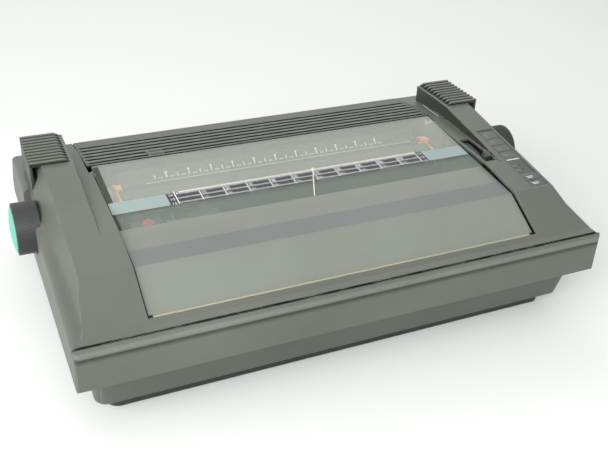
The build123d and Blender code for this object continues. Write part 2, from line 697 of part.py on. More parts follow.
with BuildPart() as control_panel:
    with BuildSketch(panel_top):
        Rectangle(panel_x[1] - panel_x[0] - 2 * part_gap, panel_y[1] - panel_y[0] - 2 * part_gap)
        for row in key_rows:
            with Locations(on_panel(sum(key_x) / 2, sum(row) / 2)):
                Rectangle(key_x[1] - key_x[0] + 2 * part_gap, row[1] - row[0] + 2 * part_gap,
                          mode=Mode.SUBTRACT)
        for y in lamp_places:
            with Locations(on_panel(panel_mid_x, y)):
                Circle(lamp_radius + fit_gap, mode=Mode.SUBTRACT)
    extrude(amount=-panel_thickness)
    with BuildSketch(panel_top.offset(-panel_thickness)):
        Rectangle(panel_x[1] - panel_x[0] - 2 * part_gap, panel_y[1] - panel_y[0] - 2 * part_gap)
        Rectangle(panel_x[1] - panel_x[0] - 2 * panel_rim, panel_y[1] - panel_y[0] - 2 * panel_rim,
                  mode=Mode.SUBTRACT)
    extrude(amount=panel_thickness - panel_room)
save(control_panel.part, "control_panel")

key_names = ("select_key", "pitch_key", "line_feed_key", "form_feed_key", "on_line_key", "self_test_key")
for name, row in zip(key_names, key_rows):
    with BuildPart() as key:
        with BuildSketch(panel_top.offset(key_proud)):
            with Locations(on_panel(sum(key_x) / 2, sum(row) / 2)):
                RectangleRounded(key_x[1] - key_x[0], row[1] - row[0], 1.2)
        extrude(amount=-key_thickness)
        with BuildSketch(panel_top.offset(key_proud - key_thickness)):
            with Locations(on_panel(sum(key_x) / 2, sum(row) / 2)):
                Circle(key_plunger)
        extrude(amount=key_thickness - key_proud + key_travel + 0.1 - panel_room)
    save(key.part, name)

with BuildPart() as indicator_lamps:
    with BuildSketch(panel_top.offset(key_proud)):
        for y in lamp_places:
            with Locations(on_panel(panel_mid_x, y)):
                Circle(lamp_radius)
    extrude(amount=-key_proud - panel_room)
save(indicator_lamps.part, "indicator_lamps")

with BuildPart() as key_circuit_board:
    with BuildSketch(panel_plane.offset(-panel_depth)):
        Rectangle(panel_x[1] - panel_x[0] - 2 * part_gap, panel_y[1] - panel_y[0] - 2 * part_gap)
    extrude(amount=board_thickness)
save(key_circuit_board.part, "key_circuit_board")

# %% Steel chassis: base plate and side frames
chassis_top = chassis_bottom + chassis_thickness
with BuildPart() as base_plate:
    block((-chassis_half_x, chassis_half_x), (-chassis_half_y, chassis_half_y), (chassis_bottom, chassis_top))
    for x in (board_x[0] + standoff_inset, board_x[1] - standoff_inset):
        for y in (board_y[0] + standoff_inset, board_y[1] - standoff_rear_inset):
            rod_z((x, y), standoff_radius, (chassis_top, board_bottom))
save(base_plate.part, "base_plate")

frame_top = platen_axis[1] + 20
frame_line = [(frame_front, chassis_top), (frame_rear, chassis_top), (frame_rear, bail_pivot[1] - 10),
              (bail_pivot[0] + 14, bail_pivot[1] + 8), (bail_pivot[0] - 6, bail_pivot[1] + 8),
              (platen_axis[0] + 13.7, frame_top), (platen_axis[0] - 16.3, frame_top),
              (platen_axis[0] - 24.3, frame_top - 16), (platen_axis[0] - 50.3, frame_top - 36),
              (frame_front, frame_top - 58)]
idler_axis = along(platen_axis, idler_direction,
                   (platen_teeth + idler_teeth) * gear_module / 2 + gear_backlash)
pinion_axis = along(idler_axis, idler_direction,
                    (idler_teeth + pinion_teeth) * gear_module / 2 + gear_backlash)
gear_outer_x = gear_inner_x + gear_width
frame_outer_x = frame_inner_x + frame_thickness


def side_frame(side):
    """A side frame with its bent foot, bail stub and holes, for x of either sign."""
    def span(a, b):
        return tuple(sorted((side * a, side * b)))
    prism(frame_line, span(frame_inner_x, frame_outer_x))
    block(span(frame_inner_x, frame_inner_x + frame_foot), (frame_front, frame_rear),
          (chassis_top, chassis_top + frame_thickness))
    rod_x(platen_axis, bush_radius + fit_gap, span(frame_inner_x - 1, frame_outer_x + 1), Mode.SUBTRACT)
    rod_x(carrier_pivot, roller_shaft_radius + fit_gap, span(frame_inner_x - 1, frame_outer_x + 1),
          Mode.SUBTRACT)
    rod_x(bail_pivot, bail_stub_radius, span(bail_arm_inner_x - 1, frame_inner_x + 1))


with BuildPart() as left_side_frame:
    side_frame(-1)
    rod_x(idler_axis, 3.0, (-gear_outer_x - 1, -frame_inner_x))
    rod_x(pinion_axis, 6.0, (-frame_outer_x - 1, -frame_inner_x + 1), Mode.SUBTRACT)
save(left_side_frame.part, "left_side_frame")

with BuildPart() as right_side_frame:
    side_frame(1)
    rod_x(lever_pivot, lever_stud_radius, (frame_inner_x, lever_outer_x + 1))
save(right_side_frame.part, "right_side_frame")

with BuildPart() as platen_bushes:
    for side in (-1, 1):
        middle = side * (frame_inner_x + frame_thickness / 2)
        collar = tuple(sorted((side * (frame_inner_x - 1.5), side * frame_inner_x)))
        rod_x(platen_axis, bush_radius, (middle - bush_thickness / 2, middle + bush_thickness / 2))
        rod_x(platen_axis, bush_radius + 1.5, collar)
        rod_x(platen_axis, shaft_radius + fit_gap, (middle - bush_thickness, middle + bush_thickness),
              Mode.SUBTRACT)
save(platen_bushes.part, "platen_bushes")

# %% Platen: shaft, rubber roller, gear, knobs and green end caps
with BuildPart() as platen_shaft:
    rod_x(platen_axis, shaft_radius, (-shaft_half_x, shaft_half_x))
save(platen_shaft.part, "platen_shaft")

with BuildPart() as platen_roller:
    rod_x(platen_axis, platen_radius, (-platen_half_x, platen_half_x))
    rod_x(platen_axis, shaft_radius, (-platen_half_x, platen_half_x), Mode.SUBTRACT)
save(platen_roller.part, "platen_roller")


def gear_face(axis, teeth, tooth_at, x):
    """A spur gear with straight-sided teeth; one tooth points at the angle tooth_at."""
    pitch_radius = teeth * gear_module / 2
    rings = ((pitch_radius - 1.15 * gear_module, 0.36), (pitch_radius, 0.225),
             (pitch_radius + 0.9 * gear_module, 0.10))
    outline = []
    for i in range(teeth):
        for radius, share in rings:
            outline.append(along(axis, tooth_at + 360 / teeth * (i - share), radius))
        for radius, share in rings[::-1]:
            outline.append(along(axis, tooth_at + 360 / teeth * (i + share), radius))
    return side_view(outline, x)


def gear(axis, teeth, tooth_at, bore):
    extrude(gear_face(axis, teeth, tooth_at, -gear_outer_x), amount=gear_width)
    rod_x(axis, bore, (-gear_outer_x, -gear_inner_x), Mode.SUBTRACT)


with BuildPart() as platen_gear:
    gear(platen_axis, platen_teeth, idler_direction, shaft_radius)
save(platen_gear.part, "platen_gear")

with BuildPart() as idler_gear:
    gear(idler_axis, idler_teeth, idler_direction + 180 + 180 / idler_teeth, 3.0 + fit_gap)
save(idler_gear.part, "idler_gear")

pinion_tooth = idler_direction + 180 + (0 if idler_teeth % 2 == 0 else 180 / pinion_teeth)
with BuildPart() as motor_pinion:
    gear(pinion_axis, pinion_teeth, pinion_tooth, pulley_shaft_radius)
    rod_x(pinion_axis, pulley_shaft_radius, (-gear_outer_x - 1, -frame_inner_x + 14))
save(motor_pinion.part, "motor_pinion")

motor_inner_x = -frame_inner_x + motor_length - 1
with BuildPart() as line_feed_motor:
    block((-frame_inner_x, motor_inner_x),
          (pinion_axis[0] - motor_size / 2, pinion_axis[0] + motor_size / 2),
          (pinion_axis[1] - motor_size / 2, pinion_axis[1] + motor_size / 2))
    chamfer(line_feed_motor.edges().filter_by(Axis.X), 4)
    rod_x(pinion_axis, pulley_shaft_radius + fit_gap, (-frame_inner_x, -frame_inner_x + 15), Mode.SUBTRACT)
save(line_feed_motor.part, "line_feed_motor")

with BuildPart() as right_platen_knob:
    rod_x(platen_axis, knob_radius, (knob_inner_x, knob_outer_x))
    chamfer(right_platen_knob.edges().filter_by(GeomType.CIRCLE), 0.8)
    rod_x(platen_axis, shaft_radius, (knob_inner_x, shaft_half_x), Mode.SUBTRACT)
save(right_platen_knob.part, "right_platen_knob")

with BuildPart() as left_platen_knob:
    mirror(right_platen_knob.part, about=Plane.YZ)
save(left_platen_knob.part, "left_platen_knob")

dome_radius = (knob_cap_radius ** 2 + (knob_cap_height - 1) ** 2) / (2 * (knob_cap_height - 1))
with BuildPart() as right_knob_cap:
    with BuildSketch(Plane.XZ.offset(-platen_axis[0])):
        with BuildLine():
            Polyline((knob_outer_x + knob_cap_height, platen_axis[1]), (knob_outer_x, platen_axis[1]),
                     (knob_outer_x, platen_axis[1] + knob_cap_radius),
                     (knob_outer_x + 1, platen_axis[1] + knob_cap_radius))
            RadiusArc((knob_outer_x + 1, platen_axis[1] + knob_cap_radius),
                      (knob_outer_x + knob_cap_height, platen_axis[1]), dome_radius)
        make_face()
    revolve(axis=Axis((0, platen_axis[0], platen_axis[1]), (1, 0, 0)))
save(right_knob_cap.part, "right_knob_cap")

with BuildPart() as left_knob_cap:
    mirror(right_knob_cap.part, about=Plane.YZ)
save(left_knob_cap.part, "left_knob_cap")

# %% Paper guide, paper bail and pressure rollers
with BuildPart() as paper_guide:
    low, bend, high = guide_line
    block((-guide_half_x, guide_half_x), (low[0], low[0] + guide_thickness), (low[1], bend[1]))
    prism(sheet([bend, high], guide_thickness), (-guide_half_x, guide_half_x))
    for side in (-1, 1):
        tab = tuple(sorted((side * (guide_half_x - 2), side * frame_inner_x)))
        block(tab, (low[0], low[0] + guide_thickness), (low[1], low[1] + 14))
save(paper_guide.part, "paper_guide")

with BuildPart() as bail_rod:
    rod_x(bail_rod_place, bail_rod_radius, (-bail_arm_inner_x, bail_arm_inner_x))
save(bail_rod.part, "bail_rod")

with BuildPart() as bail_rollers:
    for x in bail_roller_places:
        ends = (x - bail_roller_length / 2, x + bail_roller_length / 2)
        rod_x(bail_rod_place, bail_roller_radius, ends)
        rod_x(bail_rod_place, bail_rod_radius + fit_gap, ends, Mode.SUBTRACT)
save(bail_rollers.part, "bail_rollers")

bail_tab_y = (16.0, 25.0)
with BuildPart() as right_bail_arm:
    arm_x = (bail_arm_inner_x, bail_arm_inner_x + bail_arm_thickness)
    arm(bail_pivot, bail_rod_place, 6.0, arm_x)
    rod_x(bail_pivot, 4.6, arm_x)
    rod_x(bail_rod_place, 4.2, arm_x)
    block(arm_x, bail_tab_y, (bail_pivot[1], bail_pivot[1] + 9))
    block((arm_x[0] - 4, arm_x[1]), bail_tab_y, (bail_pivot[1] + 7, bail_pivot[1] + 9))
    rod_x(bail_pivot, bail_stub_radius + fit_gap, arm_x, Mode.SUBTRACT)
save(right_bail_arm.part, "right_bail_arm")

with BuildPart() as left_bail_arm:
    mirror(right_bail_arm.part, about=Plane.YZ)
save(left_bail_arm.part, "left_bail_arm")

roller_axis = (platen_axis[0], platen_axis[1] - platen_radius - roller_radius - part_gap)
with BuildPart() as pressure_rollers:
    rod_x(roller_axis, roller_shaft_radius, (roller_places[0] - 30, roller_places[-1] + 30))
    for x in roller_places:
        rod_x(roller_axis, roller_radius, (x - roller_length / 2, x + roller_length / 2))
save(pressure_rollers.part, "pressure_rollers")

with BuildPart() as pressure_roller_carrier:
    rod_x(carrier_pivot, roller_shaft_radius, (-frame_outer_x - 1, frame_outer_x + 1))
    for x in carrier_arm_places:
        arm_span = (x - carrier_arm_width / 2, x + carrier_arm_width / 2)
        arm(carrier_pivot, roller_axis, 8.0, arm_span)
        rod_x(carrier_pivot, carrier_eye_radius, arm_span)
        rod_x(roller_axis, carrier_eye_radius, arm_span)
        rod_x(roller_axis, roller_shaft_radius + fit_gap, arm_span, Mode.SUBTRACT)
save(pressure_roller_carrier.part, "pressure_roller_carrier")

lever_lean = 90 + lever_angle
with BuildPart() as release_lever:
    lever_x = (lever_inner_x, lever_outer_x)
    rod_x(lever_pivot, lever_hub_radius, lever_x)
    arm(lever_pivot, along(lever_pivot, lever_lean, lever_arc_radius), lever_handle_width, lever_x)
    with BuildSketch(Plane.YZ.offset(lever_x[0])):
        with BuildLine():
            outer_arc = CenterArc(lever_pivot, lever_arc_radius, 90 + lever_arc_end,
                                  lever_angle - lever_arc_end)
            inner_arc = CenterArc(lever_pivot, lever_arc_radius - lever_arc_depth, 90 + lever_arc_end,
                                  lever_angle - lever_arc_end)
            Line(outer_arc @ 0, inner_arc @ 0)
            Line(outer_arc @ 1, inner_arc @ 1)
        make_face()
    extrude(amount=lever_x[1] - lever_x[0])
    arm(along(lever_pivot, lever_lean, lever_arc_radius - 2), along(lever_pivot, lever_lean, lever_reach),
        lever_handle_width, lever_x)
    rod_x(lever_pivot, lever_stud_radius + fit_gap, lever_x, Mode.SUBTRACT)
save(release_lever.part, "release_lever")

# %% Carriage with its guide rods, wheel motor, daisy wheel, hammer and ribbon
with BuildPart() as guide_rods:
    for y in (rod_front_y, rod_rear_y):
        rod_x((y, rod_height), rod_radius, (-frame_inner_x, frame_inner_x))
save(guide_rods.part, "guide_rods")


def beside(a, b):
    """A stretch of X measured from the middle of the carriage."""
    return (carriage_x + a, carriage_x + b)


belt_low = pulley_height + pulley_radius + part_gap
belt_high = belt_low + belt_thickness
with BuildPart() as carriage:
    block(beside(-carriage_half_x, carriage_half_x), (carriage_front, carriage_rear), carriage_base)
    for y in (rod_front_y, rod_rear_y):
        rod_x((y, rod_height), rod_radius + fit_gap, beside(-carriage_half_x, carriage_half_x),
              Mode.SUBTRACT)
    for side in (-1, 1):
        plate = tuple(sorted((side * carriage_half_x, side * (carriage_half_x - carriage_plate))))
        block(beside(*plate), (carriage_front, carriage_rear), (carriage_base[1], carriage_top))
    block(beside(-carriage_half_x, carriage_half_x), (carriage_rear, carriage_rear + carriage_plate),
          (rod_height, carriage_top))
    rod_y((carriage_x, wheel_height), wheel_shaft_radius + 2, (carriage_rear, carriage_rear + carriage_plate),
          Mode.SUBTRACT)
    block(beside(-carriage_half_x, carriage_half_x), (solenoid_y[0] - 2, solenoid_y[1]),
          (bridge_bottom, bridge_bottom + carriage_plate))
    block(beside(-8, 8), (belt_y[0] - 2, carriage_front), (belt_low - 2, belt_high + 2))
    block(beside(-8, 8), (belt_y[0] - part_gap, belt_y[1] + part_gap), (belt_low - part_gap, belt_high + part_gap),
          Mode.SUBTRACT)
save(carriage.part, "carriage")

motor_back = carriage_rear - wheel_motor_length
with BuildPart() as wheel_motor:
    rod_y((carriage_x, wheel_height), wheel_motor_radius, (motor_back, carriage_rear))
    rod_y((carriage_x, wheel_height), wheel_shaft_radius + fit_gap, (carriage_rear - 13, carriage_rear),
          Mode.SUBTRACT)
save(wheel_motor.part, "wheel_motor")

with BuildPart() as daisy_wheel:
    with BuildSketch(Plane.XZ.offset(-wheel_back)):
        with Locations((carriage_x, wheel_height)):
            Circle(wheel_radius)
            with PolarLocations((petal_root + wheel_radius) / 2 + 1, petal_count):
                Rectangle(wheel_radius - petal_root + 2, petal_slot, mode=Mode.SUBTRACT)
    extrude(amount=-wheel_thickness)
    rod_y((carriage_x, wheel_height), wheel_hub_radius,
          (carriage_rear + carriage_plate + 2 * part_gap, wheel_back + wheel_thickness))
    rod_y((carriage_x, wheel_height), wheel_shaft_radius, (carriage_rear - 12, wheel_back))
save(daisy_wheel.part, "daisy_wheel")

bridge_top = bridge_bottom + carriage_plate
with BuildPart() as hammer_solenoid:
    block(beside(-solenoid_half_x, solenoid_half_x), solenoid_y, (bridge_top, solenoid_top))
    rod_y((carriage_x, hammer_height), hammer_radius + fit_gap, (solenoid_y[1] - 20, solenoid_y[1]),
          Mode.SUBTRACT)
save(hammer_solenoid.part, "hammer_solenoid")

with BuildPart() as print_hammer:
    rod_y((carriage_x, hammer_height), hammer_radius, (solenoid_y[1] - 16, hammer_tip - 3))
    block(beside(-1.2, 1.2), (hammer_tip - 4, hammer_tip), (hammer_height - 4, hammer_height + 3))
save(print_hammer.part, "print_hammer")

cassette_z = (carriage_top, carriage_top + cassette_height)
with BuildPart() as ribbon_cassette:
    block(beside(-carriage_half_x, carriage_half_x), (cassette_front, carriage_rear), cassette_z)
    fillet(ribbon_cassette.edges().filter_by(Axis.Z), 3)
    block(beside(-cassette_slot_half_x, cassette_slot_half_x), (solenoid_y[0] - 6, carriage_rear + 1),
          cassette_z, Mode.SUBTRACT)
    for side in (-1, 1):
        finger = tuple(sorted((side * cassette_arm_x[0], side * cassette_arm_x[1])))
        block(beside(*finger), (carriage_rear - 2, ribbon_y[0]), (cassette_z[0] + 1, cassette_z[1]))
    rod_z((carriage_x + winder_place[0], winder_place[1]), 2 + fit_gap, (cassette_z[1] - 6, cassette_z[1]),
          Mode.SUBTRACT)
save(ribbon_cassette.part, "ribbon_cassette")

with BuildPart() as ribbon:
    block(beside(-cassette_arm_x[1], cassette_arm_x[1]), ribbon_y, ribbon_z)
save(ribbon.part, "ribbon")

with BuildPart() as ribbon_winder:
    winder = (carriage_x + winder_place[0], winder_place[1])
    rod_z(winder, winder_radius, (cassette_z[1] + part_gap, cassette_z[1] + winder_height))
    block((winder[0] - 1.2, winder[0] + 1.2), (winder[1] - 5, winder[1] + 5),
          (cassette_z[1] + 1, cassette_z[1] + winder_height + 2))
    rod_z(winder, 2, (cassette_z[1] - 5, cassette_z[1] + 1))
save(ribbon_winder.part, "ribbon_winder")

with BuildPart() as card_guide:
    block(beside(-guide_card_half_x, guide_card_half_x), guide_card_y, guide_card_z)
    block(beside(-window_half_x, window_half_x), guide_card_y, (ribbon_z[0] - 1, ribbon_z[1] + 1),
          Mode.SUBTRACT)
    for side in (-1, 1):
        tab = tuple(sorted((side * guide_card_half_x, side * (guide_card_half_x - 2))))
        block(beside(*tab), (carriage_rear + carriage_plate, guide_card_y[1]),
              (guide_card_z[0], guide_card_z[0] + 5))
save(card_guide.part, "card_guide")

# %% Carriage drive: toothed belt, pulleys, motor and idler bracket
belt_inner = pulley_radius + part_gap
with BuildPart() as drive_belt:
    with BuildSketch(Plane.XZ.offset(-belt_y[0])):
        with Locations((0, pulley_height)):
            SlotCenterToCenter(2 * pulley_x, 2 * (belt_inner + belt_thickness))
            SlotCenterToCenter(2 * pulley_x, 2 * belt_inner, mode=Mode.SUBTRACT)
    extrude(amount=-(belt_y[1] - belt_y[0]))
save(drive_belt.part, "drive_belt")


def pulley(x):
    """A flanged belt pulley on a Y axis."""
    place = (x, pulley_height)
    rod_y(place, pulley_radius, (belt_y[0] - part_gap - pulley_flange, belt_y[1] + part_gap))
    rod_y(place, pulley_radius + 2.2, (belt_y[0] - part_gap - pulley_flange, belt_y[0] - part_gap))


motor_face = belt_y[0] - 2 * part_gap - pulley_flange - 1
with BuildPart() as drive_pulley:
    pulley(pulley_x)
    rod_y((pulley_x, pulley_height), pulley_shaft_radius, (motor_face - 10, belt_y[0]))
save(drive_pulley.part, "drive_pulley")

with BuildPart() as carriage_motor:
    block((pulley_x - motor_size / 2, pulley_x + motor_size / 2), (motor_face - motor_length, motor_face),
          (chassis_top, chassis_top + motor_size))
    chamfer(carriage_motor.edges().filter_by(Axis.Y), 4)
    rod_y((pulley_x, pulley_height), pulley_shaft_radius + fit_gap, (motor_face - 11, motor_face),
          Mode.SUBTRACT)
save(carriage_motor.part, "carriage_motor")

with BuildPart() as idler_pulley:
    pulley(-pulley_x)
    rod_y((-pulley_x, pulley_height), pulley_shaft_radius + fit_gap, (belt_y[0] - 3, belt_y[1] + 1),
          Mode.SUBTRACT)
save(idler_pulley.part, "idler_pulley")

with BuildPart() as idler_bracket:
    block((-pulley_x - 12, -pulley_x + 12), (motor_face - bracket_thickness, motor_face),
          (chassis_top, pulley_height + 12))
    block((-pulley_x - 12, -pulley_x + 12), (motor_face - 20, motor_face),
          (chassis_top, chassis_top + bracket_thickness))
    rod_y((-pulley_x, pulley_height), pulley_shaft_radius, (motor_face, belt_y[1] + part_gap))
save(idler_bracket.part, "idler_bracket")

# %% Electrical pieces
with BuildPart() as main_circuit_board:
    block(board_x, board_y, (board_bottom, board_bottom + board_thickness))
    for from_left, from_front, size_x, size_y, size_z in board_parts:
        x, y = board_x[0] + from_left, board_y[0] + from_front
        block((x - size_x / 2, x + size_x / 2), (y - size_y / 2, y + size_y / 2),
              (board_bottom + board_thickness, board_bottom + board_thickness + size_z))
save(main_circuit_board.part, "main_circuit_board")

with BuildPart() as transformer:
    block(transformer_x, transformer_y, (chassis_top, chassis_top + transformer_height))
    fillet(transformer.edges().filter_by(Axis.Z), 3)
    middle_x, middle_y = sum(transformer_x) / 2, sum(transformer_y) / 2
    block((middle_x - 20, middle_x + 20), (transformer_y[0] - 10, transformer_y[1] + 10),
          (chassis_top + 12, chassis_top + transformer_height - 12))
save(transformer.part, "transformer")

with BuildPart() as power_inlet:
    inlet_y = (tray_rear - inlet_depth, tray_rear)
    block((inlet_x - inlet_half_x, inlet_x + inlet_half_x), inlet_y,
          (socket_height - inlet_half_z, socket_height + inlet_half_z))
    block((inlet_x - inlet_half_x + 2, inlet_x + inlet_half_x - 2), (tray_rear - 16, tray_rear),
          (socket_height - inlet_half_z + 2, socket_height + inlet_half_z - 2), Mode.SUBTRACT)
    for x, z in ((-7, -2), (7, -2), (0, -5)):
        block((inlet_x + x - 1, inlet_x + x + 1), (tray_rear - 17, tray_rear - 4),
              (socket_height + z - 2, socket_height + z + 2))
save(power_inlet.part, "power_inlet")

rocker_pivot = (tray_rear - rocker_pivot_depth, socket_height)
rocker_half_x = switch_half_x - switch_wall - part_gap
with BuildPart() as power_switch:
    prism([(rocker_pivot[0] - 6, rocker_pivot[1] - 4), (rocker_pivot[0] - 6, rocker_pivot[1] + 4),
           (rocker_pivot[0] - 1, rocker_pivot[1] + rocker_half_z),
           (rocker_pivot[0] + 3, rocker_pivot[1] + rocker_half_z),
           (rocker_pivot[0] + 4.5, rocker_pivot[1]),
           (rocker_pivot[0] + 6.5, rocker_pivot[1] - rocker_half_z),
           (rocker_pivot[0] - 0.5, rocker_pivot[1] - rocker_half_z)],
          (switch_x - rocker_half_x, switch_x + rocker_half_x))
    rod_x(rocker_pivot, rocker_pin_radius, (switch_x - switch_half_x + 0.4, switch_x + switch_half_x - 0.4))
save(power_switch.part, "power_switch")

with BuildPart() as switch_housing:
    block((switch_x - switch_half_x, switch_x + switch_half_x), (tray_rear - switch_depth, tray_rear),
          (socket_height - switch_half_z, socket_height + switch_half_z))
    block((switch_x - switch_half_x - switch_rim, switch_x + switch_half_x + switch_rim),
          (tray_rear, tray_rear + switch_wall),
          (socket_height - switch_half_z - switch_rim, socket_height + switch_half_z + switch_rim))
    block((switch_x - switch_half_x + switch_wall, switch_x + switch_half_x - switch_wall),
          (tray_rear - switch_depth + switch_wall, tray_rear + switch_wall),
          (socket_height - switch_half_z + switch_wall, socket_height + switch_half_z - switch_wall),
          Mode.SUBTRACT)
    rod_x(rocker_pivot, rocker_pin_radius + fit_gap, (switch_x - switch_half_x, switch_x + switch_half_x),
          Mode.SUBTRACT)
save(switch_housing.part, "switch_housing")

with BuildPart() as interface_connector:
    block((connector_x - connector_half_x, connector_x + connector_half_x), (tray_rear - 26, tray_rear + 1),
          (socket_height - connector_half_z, socket_height + connector_half_z))
    block((connector_x - connector_half_x, connector_x + connector_half_x), (tray_rear - 26, tray_rear - 14),
          (board_bottom + board_thickness, socket_height))
    with BuildSketch(Plane.XZ.offset(-tray_rear - 1)):
        with Locations((connector_x, socket_height)):
            Trapezoid(42, 9, 80, rotation=180)
    extrude(amount=-5)
save(interface_connector.part, "interface_connector")
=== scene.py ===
# %% [markdown]
# A daisy wheel printer in dark plastic, with its lid closed over the print mechanism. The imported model
# brings every moving part at its real size. This lesson adds what a model of plain solids lacks: the
# finish of each surface, the printing on the lid and the panel, the ribs of the knobs, the slats of the
# vent caps, and light.

# %% Load the fixed frame
import math

import bmesh
import bpy
from mathutils import Matrix, Vector


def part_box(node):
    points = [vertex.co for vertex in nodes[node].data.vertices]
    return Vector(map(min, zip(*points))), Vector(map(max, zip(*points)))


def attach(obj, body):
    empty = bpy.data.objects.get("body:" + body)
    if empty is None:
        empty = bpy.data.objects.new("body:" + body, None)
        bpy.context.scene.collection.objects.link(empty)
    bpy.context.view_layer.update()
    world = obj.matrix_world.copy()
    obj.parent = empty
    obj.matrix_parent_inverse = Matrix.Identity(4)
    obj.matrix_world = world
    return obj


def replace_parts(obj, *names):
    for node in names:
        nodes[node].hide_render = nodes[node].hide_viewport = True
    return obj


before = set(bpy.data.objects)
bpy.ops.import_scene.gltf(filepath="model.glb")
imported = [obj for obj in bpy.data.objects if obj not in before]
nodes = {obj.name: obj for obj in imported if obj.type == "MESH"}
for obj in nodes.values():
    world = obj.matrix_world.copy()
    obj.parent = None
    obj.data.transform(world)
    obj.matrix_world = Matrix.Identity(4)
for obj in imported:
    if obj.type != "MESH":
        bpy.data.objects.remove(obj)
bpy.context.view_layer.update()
scene = bpy.context.scene
MM = 0.001

# %% [markdown]
# The camera stands where the photographer stood. Its place and its turn were worked out from the
# printed scale and from the straight edges of the casing. A camera looks along its own -Z, so the
# three columns of its matrix are its right, its up and the reverse of its view.

# %% Camera
CAMERA_AT = Vector((-335.4, -770.3, 559.0)) * MM
CAMERA_YAW, CAMERA_PITCH, CAMERA_ROLL = math.radians(-24.828), math.radians(-30.893), math.radians(2.423)
CAMERA_LENS = 50.91

camera_data = bpy.data.cameras.new("camera")
camera_data.lens = CAMERA_LENS
camera_data.sensor_width = 36.0
camera_data.clip_start = 0.01
camera = bpy.data.objects.new("camera", camera_data)
scene.collection.objects.link(camera)
ahead = Vector((math.sin(-CAMERA_YAW) * math.cos(CAMERA_PITCH),
                math.cos(-CAMERA_YAW) * math.cos(CAMERA_PITCH), math.sin(CAMERA_PITCH)))
level_right = ahead.cross(Vector((0, 0, 1))).normalized()
level_up = level_right.cross(ahead)
right = level_right * math.cos(CAMERA_ROLL) + level_up * math.sin(CAMERA_ROLL)
up = level_up * math.cos(CAMERA_ROLL) - level_right * math.sin(CAMERA_ROLL)
camera.matrix_world = Matrix.Translation(CAMERA_AT) @ Matrix((right, up, -ahead)).transposed().to_4x4()
scene.camera = camera
print("camera", camera_data.lens, "mm lens")

# %% [markdown]
# A finish is a tree of small nodes. Four helpers keep each tree short: one fills a socket with a link or a
# value, one makes a node with its sockets filled, one does a sum, and one maps a range of numbers to
# another.


# %% Node helpers
def join(tree, source, socket):
    """Fill a socket: link the end of another node to it, or set a plain value."""
    if isinstance(source, bpy.types.NodeSocket):
        tree.links.new(source, socket)
    else:
        socket.default_value = source


def node(tree, kind, **values):
    """A node with its settings made and its sockets filled by name."""
    made = tree.nodes.new("ShaderNode" + kind)
    for key, value in values.items():
        if key in made.inputs:
            join(tree, value, made.inputs[key])
        else:
            setattr(made, key, value)
    return made


def calc(tree, operation, *terms, clamped=False):
    """The result of a sum whose terms are numbers or the ends of other nodes."""
    made = node(tree, "Math", operation=operation, use_clamp=clamped)
    for term, socket in zip(terms, made.inputs):
        join(tree, term, socket)
    return made.outputs[0]


def ramp(tree, value, start, stop, low=0.0, high=1.0):
    """A number that goes from low to high while value goes from start to stop."""
    sockets = {"Value": value, "From Min": start, "From Max": stop, "To Min": low, "To Max": high}
    return node(tree, "MapRange", **sockets).outputs["Result"]


# %% [markdown]
# The studio is a pale floor under soft light. A near-white world fills the shadows, and looks white to
# the camera and in reflections. The strongest lamp stands in front at the left, beside the camera, and
# lights the bumper and the slopes. One at the left lights the casing's side, one behind gives the sheen
# on the lid, and a weak one overhead evens out the top.

# %% Studio
scene.view_settings.view_transform = "Standard"
FLOOR_COLOUR = (0.86, 0.87, 0.86, 1)
FLOOR_ROUGHNESS = 0.7
FLOOR_HALF_SIZE = 6
FLOOR_GLOW = 0.11
SKY_COLOUR = (0.90, 0.92, 0.895, 1)
SKY_STRENGTH = 0.47

floor_mesh = bpy.data.meshes.new("floor")
floor_bm = bmesh.new()
bmesh.ops.create_grid(floor_bm, x_segments=1, y_segments=1, size=FLOOR_HALF_SIZE)
floor_bm.to_mesh(floor_mesh)
floor_bm.free()
floor = bpy.data.objects.new("floor", floor_mesh)
scene.collection.objects.link(floor)
floor_paint = bpy.data.materials.new("floor")
floor_paint.use_nodes = True
floor_mesh.materials.append(floor_paint)
floor_tree = floor_paint.node_tree
floor_shader = floor_tree.nodes["Principled BSDF"].inputs
floor_shader["Base Color"].default_value = FLOOR_COLOUR
floor_shader["Roughness"].default_value = FLOOR_ROUGHNESS
floor_shader["Emission Color"].default_value = FLOOR_COLOUR
floor_seen = node(floor_tree, "LightPath").outputs["Is Camera Ray"]
join(floor_tree, calc(floor_tree, "MULTIPLY", floor_seen, FLOOR_GLOW), floor_shader["Emission Strength"])

world = bpy.data.worlds.new("studio")
scene.world = world
world.use_nodes = True
sky = world.node_tree
rays = node(sky, "LightPath").outputs
seen = calc(sky, "MAXIMUM", rays["Is Camera Ray"], rays["Is Transmission Ray"])
seen_or_mirrored = calc(sky, "MAXIMUM", seen, rays["Is Glossy Ray"])
background = sky.nodes["Background"].inputs
background["Color"].default_value = SKY_COLOUR
join(sky, ramp(sky, seen_or_mirrored, 0.0, 1.0, SKY_STRENGTH, 1.0), background["Strength"])
print("floor", 2 * FLOOR_HALF_SIZE, "m wide, sky at", SKY_STRENGTH)

# %% [markdown]
# Each lamp is a softbox: a broad sheet of light, as a photographer makes with cloth over a frame. Its
# breadth softens the shadows.

